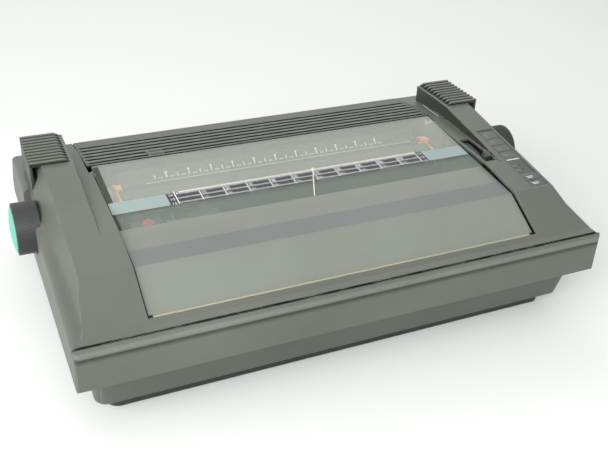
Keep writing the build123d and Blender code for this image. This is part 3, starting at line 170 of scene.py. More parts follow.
# %% Lamps
LAMPS_AIM = Vector((0.0, 0.0, 0.1))
LAMPS = (("back_lamp", (0.5, 1.6, 1.5), (2.2, 1.2), 9), ("top_lamp", (-0.5, -0.3, 1.9), (1.4, 1.4), 4),
         ("left_lamp", (-2.2, -0.4, 0.9), (1.8, 1.4), 19), ("front_lamp", (-1.1, -1.5, 1.3), (1.8, 1.0), 38))
for lamp_name, lamp_at, lamp_size, power in LAMPS:
    lamp_data = bpy.data.lights.new(lamp_name, "AREA")
    lamp_data.shape = "RECTANGLE"
    lamp_data.size, lamp_data.size_y = lamp_size
    lamp_data.energy = power
    lamp = bpy.data.objects.new(lamp_name, lamp_data)
    scene.collection.objects.link(lamp)
    turn = (LAMPS_AIM - Vector(lamp_at)).to_track_quat("-Z", "Y")
    lamp.matrix_world = Matrix.Translation(Vector(lamp_at)) @ turn.to_matrix().to_4x4()
    print(lamp_name, power, "W")

# %% [markdown]
# Finishes share a few effects: the fine grain of a moulding, worn edges, dust and faint scratches. On the
# casing and the louvred cover the pale edges are a painted highlight as well as wear. Each is a node group,
# built once and used with its own values. The patterns read Object coordinates, which are in metres, so a
# scale of 900 gives a grain of about a millimetre.


# %% Node group helpers
def group_start(name, inputs, outputs):
    """A new shader group; its inputs are numbers, and its outputs are numbers or vectors."""
    tree = bpy.data.node_groups.new(name, "ShaderNodeTree")
    kinds = {"number": "NodeSocketFloat", "vector": "NodeSocketVector"}
    for label, value in inputs:
        socket = tree.interface.new_socket(label, in_out="INPUT", socket_type=kinds["number"])
        socket.default_value = value
    for label, kind in outputs:
        tree.interface.new_socket(label, in_out="OUTPUT", socket_type=kinds[kind])
    print("group", name)
    return tree, tree.nodes.new("NodeGroupInput").outputs, tree.nodes.new("NodeGroupOutput").inputs


def place_in(tree):
    """Where a point of the surface lies on its object, in metres."""
    return node(tree, "TexCoord").outputs["Object"]


def along(tree, axis):
    """How far along one axis a point of the surface lies, in metres."""
    return node(tree, "SeparateXYZ", Vector=place_in(tree)).outputs[axis]


# %% [markdown]
# A moulded case has a fine even grain, etched into the steel of the mould to hide finger marks and sink
# marks. The grain gives the bump; a second, broad noise makes the shade drift a little, as old plastic
# does.

# %% Moulded grain
grain, g_in, g_out = group_start("moulded_grain", [("Scale", 1400.0), ("Shade", 0.06)],
                                 [("Height", "number"), ("Shade", "number")])
place = place_in(grain)
fine = node(grain, "TexNoise", Vector=place, Scale=g_in["Scale"], Detail=3.0, Roughness=0.6)
broad = node(grain, "TexNoise", Vector=place, Scale=9.0, Detail=4.0, Roughness=0.55)
centred = calc(grain, "SUBTRACT", broad.outputs["Fac"], 0.5)
join(grain, fine.outputs["Fac"], g_out["Height"])
join(grain, calc(grain, "MULTIPLY_ADD", centred, g_in["Shade"], 1.0), g_out["Shade"])

# %% [markdown]
# Hands and cloths polish the corners that stick out. The bevel node gives a normal that rounds a sharp
# edge; where it leans away from the face's own normal there is an edge, and noise breaks the wear up. On
# the casing and the louvred cover the pale edge colour is also a painted highlight.

# %% Worn edges and painted edge highlights
worn_and_highlit, w_in, w_out = group_start("worn_and_highlit_edges", [("Width", 0.0012), ("Breakup", 60.0)],
                                [("Mask", "number"), ("Normal", "vector")])
rounded = node(worn_and_highlit, "Bevel", samples=6, Radius=w_in["Width"]).outputs["Normal"]
likeness = node(worn_and_highlit, "VectorMath", operation="DOT_PRODUCT")
join(worn_and_highlit, rounded, likeness.inputs[0])
join(worn_and_highlit, node(worn_and_highlit, "NewGeometry").outputs["Normal"], likeness.inputs[1])
edge = ramp(worn_and_highlit, likeness.outputs["Value"], 0.985, 0.90)
patches = node(worn_and_highlit, "TexNoise", Vector=place_in(worn_and_highlit), Scale=w_in["Breakup"], Detail=5.0, Roughness=0.7)
rubbed_off = ramp(worn_and_highlit, patches.outputs["Fac"], 0.42, 0.62)
join(worn_and_highlit, calc(worn_and_highlit, "MULTIPLY", edge, rubbed_off), w_out["Mask"])
join(worn_and_highlit, rounded, w_out["Normal"])

# %% [markdown]
# A machine from storage has specks of dust, gathered in a few places, and long faint scratches from
# wiping. Specks are the middles of small cells; scratches are a noise stretched along one way.

# %% Dust and scratches
dust, d_in, d_out = group_start("dust_and_scratches", [("Specks", 220.0), ("Streaks", 14.0)],
                                [("Dust", "number"), ("Scratches", "number")])
place = place_in(dust)
cell = node(dust, "TexVoronoi", feature="F1", Vector=place, Scale=d_in["Specks"])
speck = ramp(dust, cell.outputs["Distance"], 0.11, 0.04)
rare = node(dust, "TexNoise", Vector=place, Scale=35.0, Detail=3.0)
dusty_place = ramp(dust, rare.outputs["Fac"], 0.60, 0.72)
stretched = node(dust, "Mapping", Vector=place, Scale=(0.35, 9.0, 9.0), Rotation=(0.0, 0.0, 0.5))
streak = node(dust, "TexNoise", Vector=stretched.outputs["Vector"], Scale=d_in["Streaks"], Detail=6.0,
              Roughness=0.75)
join(dust, calc(dust, "MULTIPLY", speck, dusty_place), d_out["Dust"])
join(dust, ramp(dust, streak.outputs["Fac"], 0.66, 0.74), d_out["Scratches"])

# %% [markdown]
# One function lays the shared effects over a plain Principled shader. Colour, roughness and bump change
# over the surface; what is the same all over, such as metal or see-through, is set on the shader itself.

# %% A finished material from the shared effects
DUST_COLOUR = (0.5, 0.5, 0.46, 1)
BUMP_HEIGHT = 0.4 * MM


def blend_by(tree, mask, before, after):
    """Two colours mixed by a mask; each may be a plain colour or the end of another mix."""
    return node(tree, "Mix", data_type="RGBA", Factor=mask, A=before, B=after).outputs["Result"]


def finish(name, colour, roughness, grain_scale=1400.0, grain_depth=0.05, shade=0.3, edge_width=0.0009,
           edge_colour=None, scratches=0.25, dust_amount=0.15, metallic=0.0, alpha=1.0, under=None):
    """A worn plastic or metal; under may be a function that colours the base by place, painted shade and
    highlight included, and the pale edge colour may be a painted highlight as well as wear.
    """
    material = bpy.data.materials.new(name)
    material.use_nodes = True
    tree = material.node_tree
    shader = tree.nodes["Principled BSDF"].inputs
    shader["Metallic"].default_value = metallic
    shader["Alpha"].default_value = alpha
    plain = (*colour, 1)
    pale = (*(edge_colour or [min(1.0, c * 1.8 + 0.02) for c in colour]), 1)
    texture = node(tree, "Group", node_tree=grain, Scale=grain_scale, Shade=shade).outputs
    edge_group = node(tree, "Group", node_tree=worn_and_highlit, Width=edge_width).outputs
    marks = node(tree, "Group", node_tree=dust).outputs
    base = node(tree, "Mix", data_type="RGBA", blend_type="MULTIPLY", Factor=1.0,
                A=under(tree, plain) if under else plain, B=texture["Shade"])
    # the edge mask lays on the pale edge colour: wear, and on the casing and the cover a painted highlight
    edged = blend_by(tree, edge_group["Mask"], base.outputs["Result"], pale)
    scratched = blend_by(tree, calc(tree, "MULTIPLY", marks["Scratches"], scratches), edged, pale)
    dusted = blend_by(tree, calc(tree, "MULTIPLY", marks["Dust"], dust_amount), scratched, DUST_COLOUR)
    join(tree, dusted, shader["Base Color"])
    dull = ramp(tree, texture["Height"], 0.0, 1.0, roughness - 0.06, roughness + 0.08)
    join(tree, dull, shader["Roughness"])
    bump = node(tree, "Bump", Strength=grain_depth, Distance=BUMP_HEIGHT, Height=texture["Height"],
                Normal=edge_group["Normal"])
    join(tree, bump.outputs["Normal"], shader["Normal"])
    return material


# %% [markdown]
# Some shades belong to a place on a piece, such as the painted shadow in a seam or the painted shade on a
# wall that gets no light. A mask is 1 there and 0 elsewhere, and it is worked out from the place along X, Y
# or Z.


# %% Masks by place
def step_at(tree, axis, start, stop):
    """A number that goes from 0 to 1 between two places along an axis, in millimetres."""
    return ramp(tree, along(tree, axis), start * MM, stop * MM)


def both(tree, a, b):
    """1 only where two masks are both 1."""
    return calc(tree, "MULTIPLY", a, b)


def band(tree, axis, low, high, soft):
    """1 between two places along an axis, fading out over a soft edge, in millimetres."""
    return both(tree, step_at(tree, axis, low - soft, low), step_at(tree, axis, high + soft, high))


def slope_of(front, rear):
    """The rise of a sloping face towards the rear, per unit; its two edges are given as (y, z)."""
    return (rear[1] - front[1]) / (rear[0] - front[0])


def above_face(tree, front, rear, start, stop):
    """A number that goes from 0 to 1 between two heights above a sloping face, in millimetres."""
    slope = slope_of(front, rear)
    height = calc(tree, "MULTIPLY_ADD", along(tree, "Y"), -slope, along(tree, "Z"))
    level = (front[1] - slope * front[0]) * MM
    return ramp(tree, height, level + start * MM, level + stop * MM)


# %% [markdown]
# The casing is one grey, but it doesn't look so, so light and shade are painted into it by place. The tray
# leans under the bumper and gets painted shade, the plinth gets a painted shadow, a painted shadow widens the
# seam behind the bumper, the bumper's nose gets a painted highlight with a painted shadow under it, and the
# walls beside the lid's strips face away from the light and get painted shade.

# %% Painted shade and highlight on the casing
PLINTH_TOP = 18.0
TRAY_TOP = 58.0
BUMPER_FACE = (-194.0, -195.5)
NOSE_FRONT = (96.4, 99.0)
NOSE_HOLLOW = (91.0, 94.2)
SEAM = (-193.0, -190.6)
SEAM_FLOOR = 100.0
STRIP_WALL_X = 222.5
STRIP_START = -78.0
STRIP_WALL_FOOT = 138.0
# colours of the painted shade, shadow and highlight on the casing
PLINTH_PAINTED_SHADOW = (0.032, 0.035, 0.029, 1)
TRAY_PAINTED_SHADE = (0.096, 0.106, 0.089, 1)
NOSE_PAINTED_HIGHLIGHT = (0.165, 0.182, 0.155, 1)
UNDER_NOSE_PAINTED_SHADOW = (0.040, 0.044, 0.037, 1)
SEAM_PAINTED_SHADOW = (0.008, 0.009, 0.010, 1)
WALL_PAINTED_SHADE = (0.030, 0.034, 0.028, 1)


def wall_beside_strip(tree):
    """1 on the upright wall between each shoulder and the strip beside the lid, which gets painted shade."""
    outward = calc(tree, "ABSOLUTE", along(tree, "X"))
    wall = calc(tree, "COMPARE", outward, STRIP_WALL_X * MM, 0.25 * MM)
    rearward = both(tree, wall, step_at(tree, "Y", STRIP_START - 1.0, STRIP_START))
    return both(tree, rearward, step_at(tree, "Z", STRIP_WALL_FOOT - 1.0, STRIP_WALL_FOOT))


def casing_shades(tree, colour):
    """The casing's grey, with painted shade where it is darker and a painted highlight where it is paler."""
    # painted shade on the walls beside the strips, which face away from the light
    shade = blend_by(tree, wall_beside_strip(tree), colour, WALL_PAINTED_SHADE)
    # painted shade on the tray, which leans under the bumper
    shade = blend_by(tree, step_at(tree, "Z", TRAY_TOP + 0.4, TRAY_TOP - 0.6), shade, TRAY_PAINTED_SHADE)
    # painted shadow on the plinth
    shade = blend_by(tree, step_at(tree, "Z", PLINTH_TOP, PLINTH_TOP - 0.4), shade, PLINTH_PAINTED_SHADOW)
    # painted highlight on the front of the bumper's nose
    nose_front = both(tree, band(tree, "Z", *NOSE_FRONT, 1.2), step_at(tree, "Y", *BUMPER_FACE))
    shade = blend_by(tree, nose_front, shade, NOSE_PAINTED_HIGHLIGHT)
    # painted shadow in the hollow under the nose
    hollow = both(tree, step_at(tree, "Z", NOSE_HOLLOW[0] - 4.0, NOSE_HOLLOW[0]),
                  step_at(tree, "Z", NOSE_HOLLOW[1] + 1.0, NOSE_HOLLOW[1]))
    shade = blend_by(tree, both(tree, hollow, step_at(tree, "Y", *BUMPER_FACE)), shade, UNDER_NOSE_PAINTED_SHADOW)
    # painted shadow either side of the seam behind the bumper, widening its dark line
    seam = both(tree, band(tree, "Y", *SEAM, 0.2), step_at(tree, "Z", SEAM_FLOOR - 1.0, SEAM_FLOOR))
    return blend_by(tree, seam, shade, SEAM_PAINTED_SHADOW)


# %% [markdown]
# Slats and louvres look like dark and pale lines, because light doesn't reach the floor between them, so
# that shade is painted here. On the louvred cover the painted dark rows repeat at the pitch of the slots, and
# stop at a small notch where a fingernail lifts the cover; the ribbed field gets a painted highlight.

# %% Painted shade between slats and in slots
COVER_FRONT, COVER_REAR = (54.6, 143.8), (142.7, 131.4)
RIBS_REAR = 119.0
SLOT_FIRST, SLOT_PITCH, SLOT_COUNT = 60.0, 10.8, 6
SLOT_HALF_X = 206.6
SLOT_ROW_HALF = 3.0
NOTCH_X = (-140.4, -138.2)
NOTCH_REAR = 74.0
CAP_FLOOR = 157.0
CAP_SHADOW = (158.9, 160.3)
# colours of the painted highlight and shade on the cover and the vent caps
RIB_PAINTED_HIGHLIGHT = (0.130, 0.141, 0.120, 1)
SLOT_PAINTED_SHADOW = (0.008, 0.008, 0.007, 1)
SKIRT_PAINTED_SHADE = (0.052, 0.057, 0.048, 1)
SLAT_FLOOR_PAINTED_SHADOW = (0.010, 0.010, 0.009, 1)


def dark_between_slats(tree, colour):
    """Painted shadow on the floor between the slats of a vent cap, and painted shade on the skirt below."""
    # painted shadow on the floor between the slats and painted shade on the skirt below
    floor_mask = step_at(tree, "Z", CAP_FLOOR - 0.2, CAP_FLOOR + 0.2)
    low_shade = blend_by(tree, floor_mask, SKIRT_PAINTED_SHADE, SLAT_FLOOR_PAINTED_SHADOW)
    return blend_by(tree, step_at(tree, "Z", *CAP_SHADOW), low_shade, colour)


def dark_in_slots(tree, colour):
    """Painted shadow on the slots' walls below the cover's top face and in a dark row along each slot, with a
    painted highlight on the ribs.
    """
    # painted highlight on the ribbed field of the cover
    highlit_ribs = blend_by(tree, step_at(tree, "Y", RIBS_REAR, RIBS_REAR - 1.0), colour, RIB_PAINTED_HIGHLIGHT)
    below = above_face(tree, COVER_FRONT, COVER_REAR, -0.15, -1.0)
    # painted shadow on the slots' walls below the top face
    walls = blend_by(tree, below, highlit_ribs, SLOT_PAINTED_SHADOW)
    from_first = calc(tree, "SUBTRACT", along(tree, "Y"), SLOT_FIRST * MM)
    to_nearest = calc(tree, "PINGPONG", from_first, SLOT_PITCH * MM / 2)
    near = ramp(tree, to_nearest, (SLOT_ROW_HALF + 0.2) * MM, (SLOT_ROW_HALF - 0.2) * MM)
    slot_last = SLOT_FIRST + (SLOT_COUNT - 1) * SLOT_PITCH
    field = both(tree, band(tree, "Y", SLOT_FIRST - 3.5, slot_last + 3.5, 0.1),
                 band(tree, "X", -SLOT_HALF_X, SLOT_HALF_X, 0.1))
    notch = both(tree, band(tree, "X", *NOTCH_X, 0.2), step_at(tree, "Y", NOTCH_REAR, NOTCH_REAR - 0.5))
    rows = calc(tree, "SUBTRACT", both(tree, near, field), notch, clamped=True)
    # painted shadow in a dark row along each slot
    return blend_by(tree, rows, walls, SLOT_PAINTED_SHADOW)


# %% [markdown]
# The shell, panel and knobs are moulded in dark greys that differ a little, because each comes from its
# own mould and batch. The moving parts inside are picked out in orange, red and cream, so that an operator
# finds what may be touched.

# %% Moulded plastics and rubber
CASING_GREY = (0.119, 0.131, 0.110)
# the casing's pale edge colour and width make a painted highlight along its edges and creases, as well as
# wear
casing_plastic = finish("casing_plastic", CASING_GREY, 0.46, grain_depth=0.10, shade=0.5, scratches=0.22,
                        edge_width=0.0012, edge_colour=(0.26, 0.275, 0.24), under=casing_shades)
# the cover's pale edge colour makes a painted highlight on the rounded fronts of its ribs, as well as wear
cover_plastic = finish("cover_plastic", (0.090, 0.098, 0.082), 0.44, grain_depth=0.08,
                       edge_colour=(0.24, 0.25, 0.225), under=dark_in_slots)
ribbed_plastic = finish("ribbed_plastic", CASING_GREY, 0.46, grain_depth=0.05, edge_width=0.0003,
                        edge_colour=(0.14, 0.145, 0.125), under=dark_between_slats)
knob_plastic = finish("knob_plastic", (0.051, 0.055, 0.053), 0.40, grain_depth=0.03, edge_width=0.0002,
                      edge_colour=(0.10, 0.105, 0.10))
black_plastic = finish("black_plastic", (0.016, 0.016, 0.016), 0.45, edge_colour=(0.06, 0.06, 0.06))
key_plastic = finish("key_plastic", (0.090, 0.105, 0.095), 0.38, grain_depth=0.05, scratches=0.1)
panel_plastic = finish("panel_plastic", (0.070, 0.078, 0.068), 0.40, grain_depth=0.05)
rubber = finish("rubber", (0.014, 0.014, 0.013), 0.75, grain_depth=0.12, edge_colour=(0.04, 0.04, 0.04))
cream_rubber = finish("cream_rubber", (0.62, 0.52, 0.33), 0.6, edge_colour=(0.7, 0.6, 0.45))
cream_plastic = finish("cream_plastic", (0.60, 0.54, 0.40), 0.4, edge_colour=(0.7, 0.66, 0.55))
mint_plastic = finish("mint_plastic", (0.12, 0.49, 0.38), 0.40, grain_depth=0.04,
                      edge_colour=(0.35, 0.65, 0.5))
orange_plastic = finish("orange_plastic", (0.98, 0.27, 0.01), 0.45, edge_colour=(0.85, 0.45, 0.2))
red_plastic = finish("red_plastic", (0.80, 0.015, 0.020), 0.4, edge_colour=(0.8, 0.2, 0.15))
ribbon_film = finish("ribbon_film", (0.008, 0.008, 0.009), 0.25, grain_depth=0.02)
lamp_plastic = finish("lamp_plastic", (0.09, 0.030, 0.022), 0.22, grain_depth=0.0)
print("materials so far", len(bpy.data.materials))

# %% [markdown]
# Metals differ by how they were worked: zinc-plated sheet is blotchy, a ground bar is smooth and bright,
# and painted sheet is dull and black. A bare metal's colour is its reflection, so Metallic is near 1 on
# them and 0 on the painted sheet.

# %% Metals and the circuit boards
zinc = finish("zinc_plated_steel", (0.42, 0.42, 0.40), 0.38, grain_scale=300.0, grain_depth=0.03, shade=0.9,
              metallic=1.0, edge_colour=(0.6, 0.6, 0.58), scratches=0.3)
bright_steel = finish("bright_steel", (0.60, 0.60, 0.60), 0.18, grain_depth=0.01, metallic=1.0,
                      edge_colour=(0.7, 0.7, 0.7))
black_metal = finish("black_metal", (0.022, 0.022, 0.024), 0.42, grain_depth=0.05,
                     edge_colour=(0.2, 0.2, 0.2))
iron = finish("iron_laminations", (0.16, 0.15, 0.14), 0.5, grain_scale=500.0, grain_depth=0.1, metallic=0.6)
cast_alloy = finish("cast_alloy", (0.34, 0.34, 0.35), 0.45, grain_scale=700.0, grain_depth=0.1, metallic=0.9)
brass = finish("brass", (0.62, 0.43, 0.16), 0.28, grain_depth=0.02, metallic=1.0,
               edge_colour=(0.8, 0.65, 0.3))
board_laminate = finish("board_laminate", (0.02, 0.12, 0.045), 0.35, grain_depth=0.03,
                        edge_colour=(0.3, 0.35, 0.2))
print("materials so far", len(bpy.data.materials))

# %% [markdown]
# The lid is smoked plastic with a haze of fine scratches, so what lies under it shows dimly. Alpha lets
# part of the light straight through without bending it, which suits a thin sheet. Its front is frosted and
# hides what is below, and its rear is painted paler, a painted reflection.

# %% Smoked sheet and clear film
FROSTED_TO = -70.0
SCALE_REAR = -22.5
LID_FRONT, LID_BEND, LID_REAR = (-175.3, 101.7), (-127.5, 128.3), (50.7, 144.1)
HAZE = (0.50, 0.59, 0.52)
# painted reflection on the rear of the sheet
REAR_PAINTED_SHEEN = (0.84, 0.90, 0.80, 1)
FROST = (0.225, 0.240, 0.205, 1)
SLOPE_FROST = (0.255, 0.277, 0.239, 1)
CLEAR_ALPHA = 0.20
FROST_ALPHA = 0.90
REAR_ALPHA = 0.23


def behind_scale(tree):
    """1 behind the printed scale."""
    return step_at(tree, "Y", SCALE_REAR - 2.0, SCALE_REAR + 1.0)


def in_frost(tree):
    """1 on the frosted front of the sheet."""
    return step_at(tree, "Y", FROSTED_TO + 0.5, FROSTED_TO - 0.5)


def haze_by_place(tree, colour):
    """The rear of the sheet is painted paler than the clear band, a painted reflection; the frosted front is
    paler too.
    """
    # the painted reflection makes the rear of the sheet paler
    rear = blend_by(tree, behind_scale(tree), colour, REAR_PAINTED_SHEEN)
    front = blend_by(tree, in_frost(tree), rear, FROST)
    return blend_by(tree, step_at(tree, "Y", LID_BEND[0] + 0.5, LID_BEND[0] - 0.5), front, SLOPE_FROST)


smoked_sheet = finish("smoked_sheet", HAZE, 0.34, grain_depth=0.01, shade=0.25, scratches=0.10,
                      dust_amount=0.5, edge_width=0.0007, edge_colour=(0.33, 0.30, 0.22), under=haze_by_place)
sheet = smoked_sheet.node_tree
front_alpha = calc(sheet, "MULTIPLY_ADD", in_frost(sheet), FROST_ALPHA - CLEAR_ALPHA, CLEAR_ALPHA)
sheet_alpha = calc(sheet, "MULTIPLY_ADD", behind_scale(sheet), REAR_ALPHA - CLEAR_ALPHA, front_alpha)
join(sheet, sheet_alpha, sheet.nodes["Principled BSDF"].inputs["Alpha"])
clear_film = finish("clear_film", (0.5, 0.5, 0.48), 0.15, grain_depth=0.0, alpha=0.3)
print("materials so far", len(bpy.data.materials))

# %% [markdown]
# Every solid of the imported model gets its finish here. Pieces from one kind of stock share one: frames and
# motors are painted steel, gears and bushes are moulded in cream plastic that needs no oil, and rollers
# are rubber.

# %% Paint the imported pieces
paint_of = {
    casing_plastic: ["lower_casing", "upper_casing"],
    ribbed_plastic: ["left_vent_cap", "right_vent_cap"],
    cover_plastic: ["rear_cover"],
    smoked_sheet: ["lid"],
    knob_plastic: ["left_platen_knob", "right_platen_knob"],
    black_plastic: ["ribbon_cassette", "daisy_wheel", "power_switch", "switch_housing", "power_inlet"],
    key_plastic: ["select_key", "pitch_key", "line_feed_key", "form_feed_key", "on_line_key",
                  "self_test_key"],
    panel_plastic: ["control_panel", "release_lever"],
    rubber: ["rubber_feet", "platen_roller", "pressure_rollers", "drive_belt"],
    cream_rubber: ["bail_rollers"],
    cream_plastic: ["platen_gear", "idler_gear", "platen_bushes"],
    mint_plastic: ["left_knob_cap", "right_knob_cap"],
    orange_plastic: ["left_bail_arm", "right_bail_arm"],
    red_plastic: ["ribbon_winder"],
    ribbon_film: ["ribbon"],
    lamp_plastic: ["indicator_lamps"],
    zinc: ["casing_screws", "base_plate", "idler_bracket", "pressure_roller_carrier",
           "interface_connector"],
    bright_steel: ["guide_rods", "platen_shaft", "bail_rod", "print_hammer"],
    black_metal: ["paper_guide", "left_side_frame", "right_side_frame", "line_feed_motor",
                  "carriage_motor", "wheel_motor"],
    iron: ["transformer", "hammer_solenoid"],
    cast_alloy: ["carriage"],
    brass: ["motor_pinion", "drive_pulley", "idler_pulley"],
    board_laminate: ["main_circuit_board", "key_circuit_board"],
    clear_film: ["card_guide"],
}
for material, names in paint_of.items():
    for name in names:
        nodes[name].data.materials.clear()
        nodes[name].data.materials.append(material)
print("unpainted", sorted(set(nodes) - {n for names in paint_of.values() for n in names}))

# %% [markdown]
# Printing is a film of ink a few hundredths of a millimetre thick. Here each print is a set of very thin
# plates laid on its surface, so it stays sharp close up and moves with the lid. A plane's own matrix turns
# flat measures, in millimetres to the right and up the slope, into places on the machine.


# %% Thin plates and lettering on a sloping plane
def sloping(origin, slope):
    """A plane through a point, climbing towards the rear by slope."""
    return Matrix.Translation(Vector(origin) * MM) @ Matrix.Rotation(math.atan(slope), 4, "X")


def face_plane(front, rear):
    """The plane of a sloping face, through the middle of its front edge; edges are given as (y, z)."""
    return sloping((0, *front), slope_of(front, rear))


def plate(bm, plane, across, up_slope, lift=0.01, thickness=0.05):
    size = Vector((across[1] - across[0], up_slope[1] - up_slope[0], thickness)) * MM
    middle = Vector((sum(across) / 2, sum(up_slope) / 2, lift + thickness / 2)) * MM
    bmesh.ops.create_cube(bm, size=1, matrix=plane @ Matrix.Translation(middle) @ Matrix.Diagonal((*size, 1)))


def letters(bm, text, size, plane, across, up_slope, lift=0.06, thickness=0.05):
    """Flat lettering, made a mesh first and then moved to its place."""
    curve = bpy.data.curves.new("letters", "FONT")
    curve.body = text
    curve.size = size * MM
    curve.align_x = "CENTER"
    curve.extrude = thickness * MM / 2
    curve.resolution_u = 2
    holder = bpy.data.objects.new("letters", curve)
    flat_text = bpy.data.meshes.new_from_object(holder)
    flat_text.transform(plane @ Matrix.Translation(Vector((across, up_slope, lift + thickness / 2)) * MM))
    bm.from_mesh(flat_text)
    bpy.data.objects.remove(holder)
    bpy.data.curves.remove(curve)
    bpy.data.meshes.remove(flat_text)


def piece(name, bm, material, body):
    """A finished piece: its normals set, its paint on, riding on its body."""
    bmesh.ops.recalc_face_normals(bm, faces=bm.faces)
    mesh = bpy.data.meshes.new(name)
    bm.to_mesh(mesh)
    bm.free()
    thing = bpy.data.objects.new(name, mesh)
    scene.collection.objects.link(thing)
    mesh.materials.append(material)
    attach(thing, body)
    print(name, len(mesh.polygons), "faces on", body)
    return thing


def printed(name, plane, areas, material, body, lift=0.01):
    """A piece of thin plates on one plane; each area is its range across and its range up the slope."""
    bm = bmesh.new()
    for across, up_slope in areas:
        plate(bm, plane, across, up_slope, lift)
    return piece(name, bm, material, body)


# %% [markdown]
# Inks are plain and thin: they wear in scratches and not at edges, so their edge wear is as good as none.
# The painted shade beside the lid and the black of a gap are treated alike.


# %% Inks
def ink(name, colour, roughness=0.5, grain_depth=0.02, **changes):
    return finish(name, colour, roughness, grain_depth=grain_depth, edge_width=0.0001, **changes)


white_ink = ink("white_ink", (0.88, 0.88, 0.87), scratches=0.3)
cream_ink = ink("cream_ink", (0.85, 0.80, 0.66), scratches=0.2)
faded_ink = ink("faded_ink", (0.30, 0.31, 0.28), scratches=0.3)
dark_ink = ink("dark_ink", (0.020, 0.020, 0.026), grain_depth=0.01, scratches=0.1)
stripe_ink = ink("stripe_ink", (0.160, 0.166, 0.165), 0.40, grain_depth=0.01, scratches=0.1)
panel_ink = ink("panel_ink", (0.31, 0.39, 0.38), 0.42, grain_depth=0.01, scratches=0.12)
green_ink = ink("green_ink", (0.12, 0.33, 0.22))
# a tan painted highlight for the lid's front edge, which catches the light
painted_edge_highlight = ink("painted_edge_highlight", (0.50, 0.44, 0.29), 0.6, grain_depth=0.05)
shadow_black = ink("shadow_black", (0.006, 0.006, 0.006), 0.7)
# painted shade for the gap along the lid's left side
side_gap_shadow = ink("side_gap_shadow", (0.055, 0.057, 0.050), 0.8, grain_depth=0.3, grain_scale=900.0)
print("materials so far", len(bpy.data.materials))

# %% [markdown]
# The lid carries a bare dark stripe along its bend and, behind it, the column scale. The scale is eleven
# inches long between end panels, with three rows for ten, twelve and fifteen characters to the inch. That
# is what an operator counts columns by, so its numbers are the plain counts of characters.

# %% Stripe and scale ground on the lid
LID_EDGE = 203.3
STRIPE_REAR = -103.0
BAND_FRONT = -42.6
GROUND = (-145.0, 152.0)
on_lid = face_plane(LID_BEND, LID_REAR)
stretch_lid = math.hypot(1, slope_of(LID_BEND, LID_REAR))


def up_lid(y):
    """How far up the lid's slope a place at y lies."""
    return (y - LID_BEND[0]) * stretch_lid


BAND = (up_lid(BAND_FRONT), up_lid(SCALE_REAR))
printed("lid_stripe", on_lid, [((-LID_EDGE, LID_EDGE), (0.15, up_lid(STRIPE_REAR)))], stripe_ink, "lid")
printed("scale_ground", on_lid, [(GROUND, BAND)], dark_ink, "lid")
printed("scale_end_panels", on_lid, [((-LID_EDGE, GROUND[0]), BAND), ((GROUND[1], LID_EDGE), BAND)],
        panel_ink, "lid")

# %% [markdown]
# Each row of the scale has a tick for every character, with a longer one at every fifth. The inch lines
# cross all three rows. Each row starts and ends with its own count of characters to the inch.

# %% Scale lines and numbers
INCH = 25.4
INCHES = 11
FIRST_INCH = -136.0
INCH_LINE_HALF = 0.55
OVER_GROUND = 0.07
# characters to the inch, the middle of the row, the length of a tick and half its width
ROWS = ((10, BAND[1] - 1.9, 3.4, 0.55), (12, BAND[1] - 10.4, 1.7, 0.46), (15, BAND[0] + 2.0, 1.7, 0.38))


def around(middle, half):
    """The range that reaches half to each side of its middle."""
    return middle - half, middle + half


ticks = []
for inch in range(INCHES + 1):
    ticks.append((around(FIRST_INCH + inch * INCH, INCH_LINE_HALF), (BAND[0] + 0.1, BAND[1] + 2.2)))
for per_inch, row_middle, tick, half_tick in ROWS:
    for count in range(INCHES * per_inch):
        if count % per_inch:
            reach = tick * (1.5 if count % 5 == 0 else 1.0)
            tick_x = FIRST_INCH + count * INCH / per_inch
            ticks.append((around(tick_x, half_tick), around(row_middle, reach / 2)))
printed("scale_lines", on_lid, ticks, white_ink, "lid", OVER_GROUND)

LABEL_SIZE, NUMBER_SIZE = 5.4, 4.6
LABELS_X = (FIRST_INCH - 4.6, FIRST_INCH + INCHES * INCH + 4.4)
LABEL_DROP = 1.6
NUMBER_RIGHT = 4.0
BELOW_ROW, ABOVE_ROW = -5.2, 0.9
numbers = bmesh.new()
for per_inch, row_middle, tick, _ in ROWS:
    for label_x in LABELS_X:
        letters(numbers, str(per_inch), LABEL_SIZE, on_lid, label_x, row_middle - LABEL_DROP - tick / 2)
    number_foot = row_middle + (BELOW_ROW if per_inch == 10 else ABOVE_ROW)
    for inch in range(1, INCHES):
        number_x = FIRST_INCH + inch * INCH + NUMBER_RIGHT
        letters(numbers, str(inch * per_inch), NUMBER_SIZE, on_lid, number_x, number_foot)
piece("scale_numbers", numbers, white_ink, "lid")
printed("scale_rear_line", on_lid, [((-131.0, 143.4), (BAND[1] - 0.1, BAND[1] + 1.3))], cream_ink, "lid",
        OVER_GROUND)

# %% [markdown]
# A thin pale pointer crosses the middle of the scale. The sheet's cut edge is unpolished and catches the
# light, so a painted highlight, a hairline of tan, follows its front edge, with a small dark notch at each
# corner painted as shadow. Along its left side, painted shade stands for the gap beside the lid.

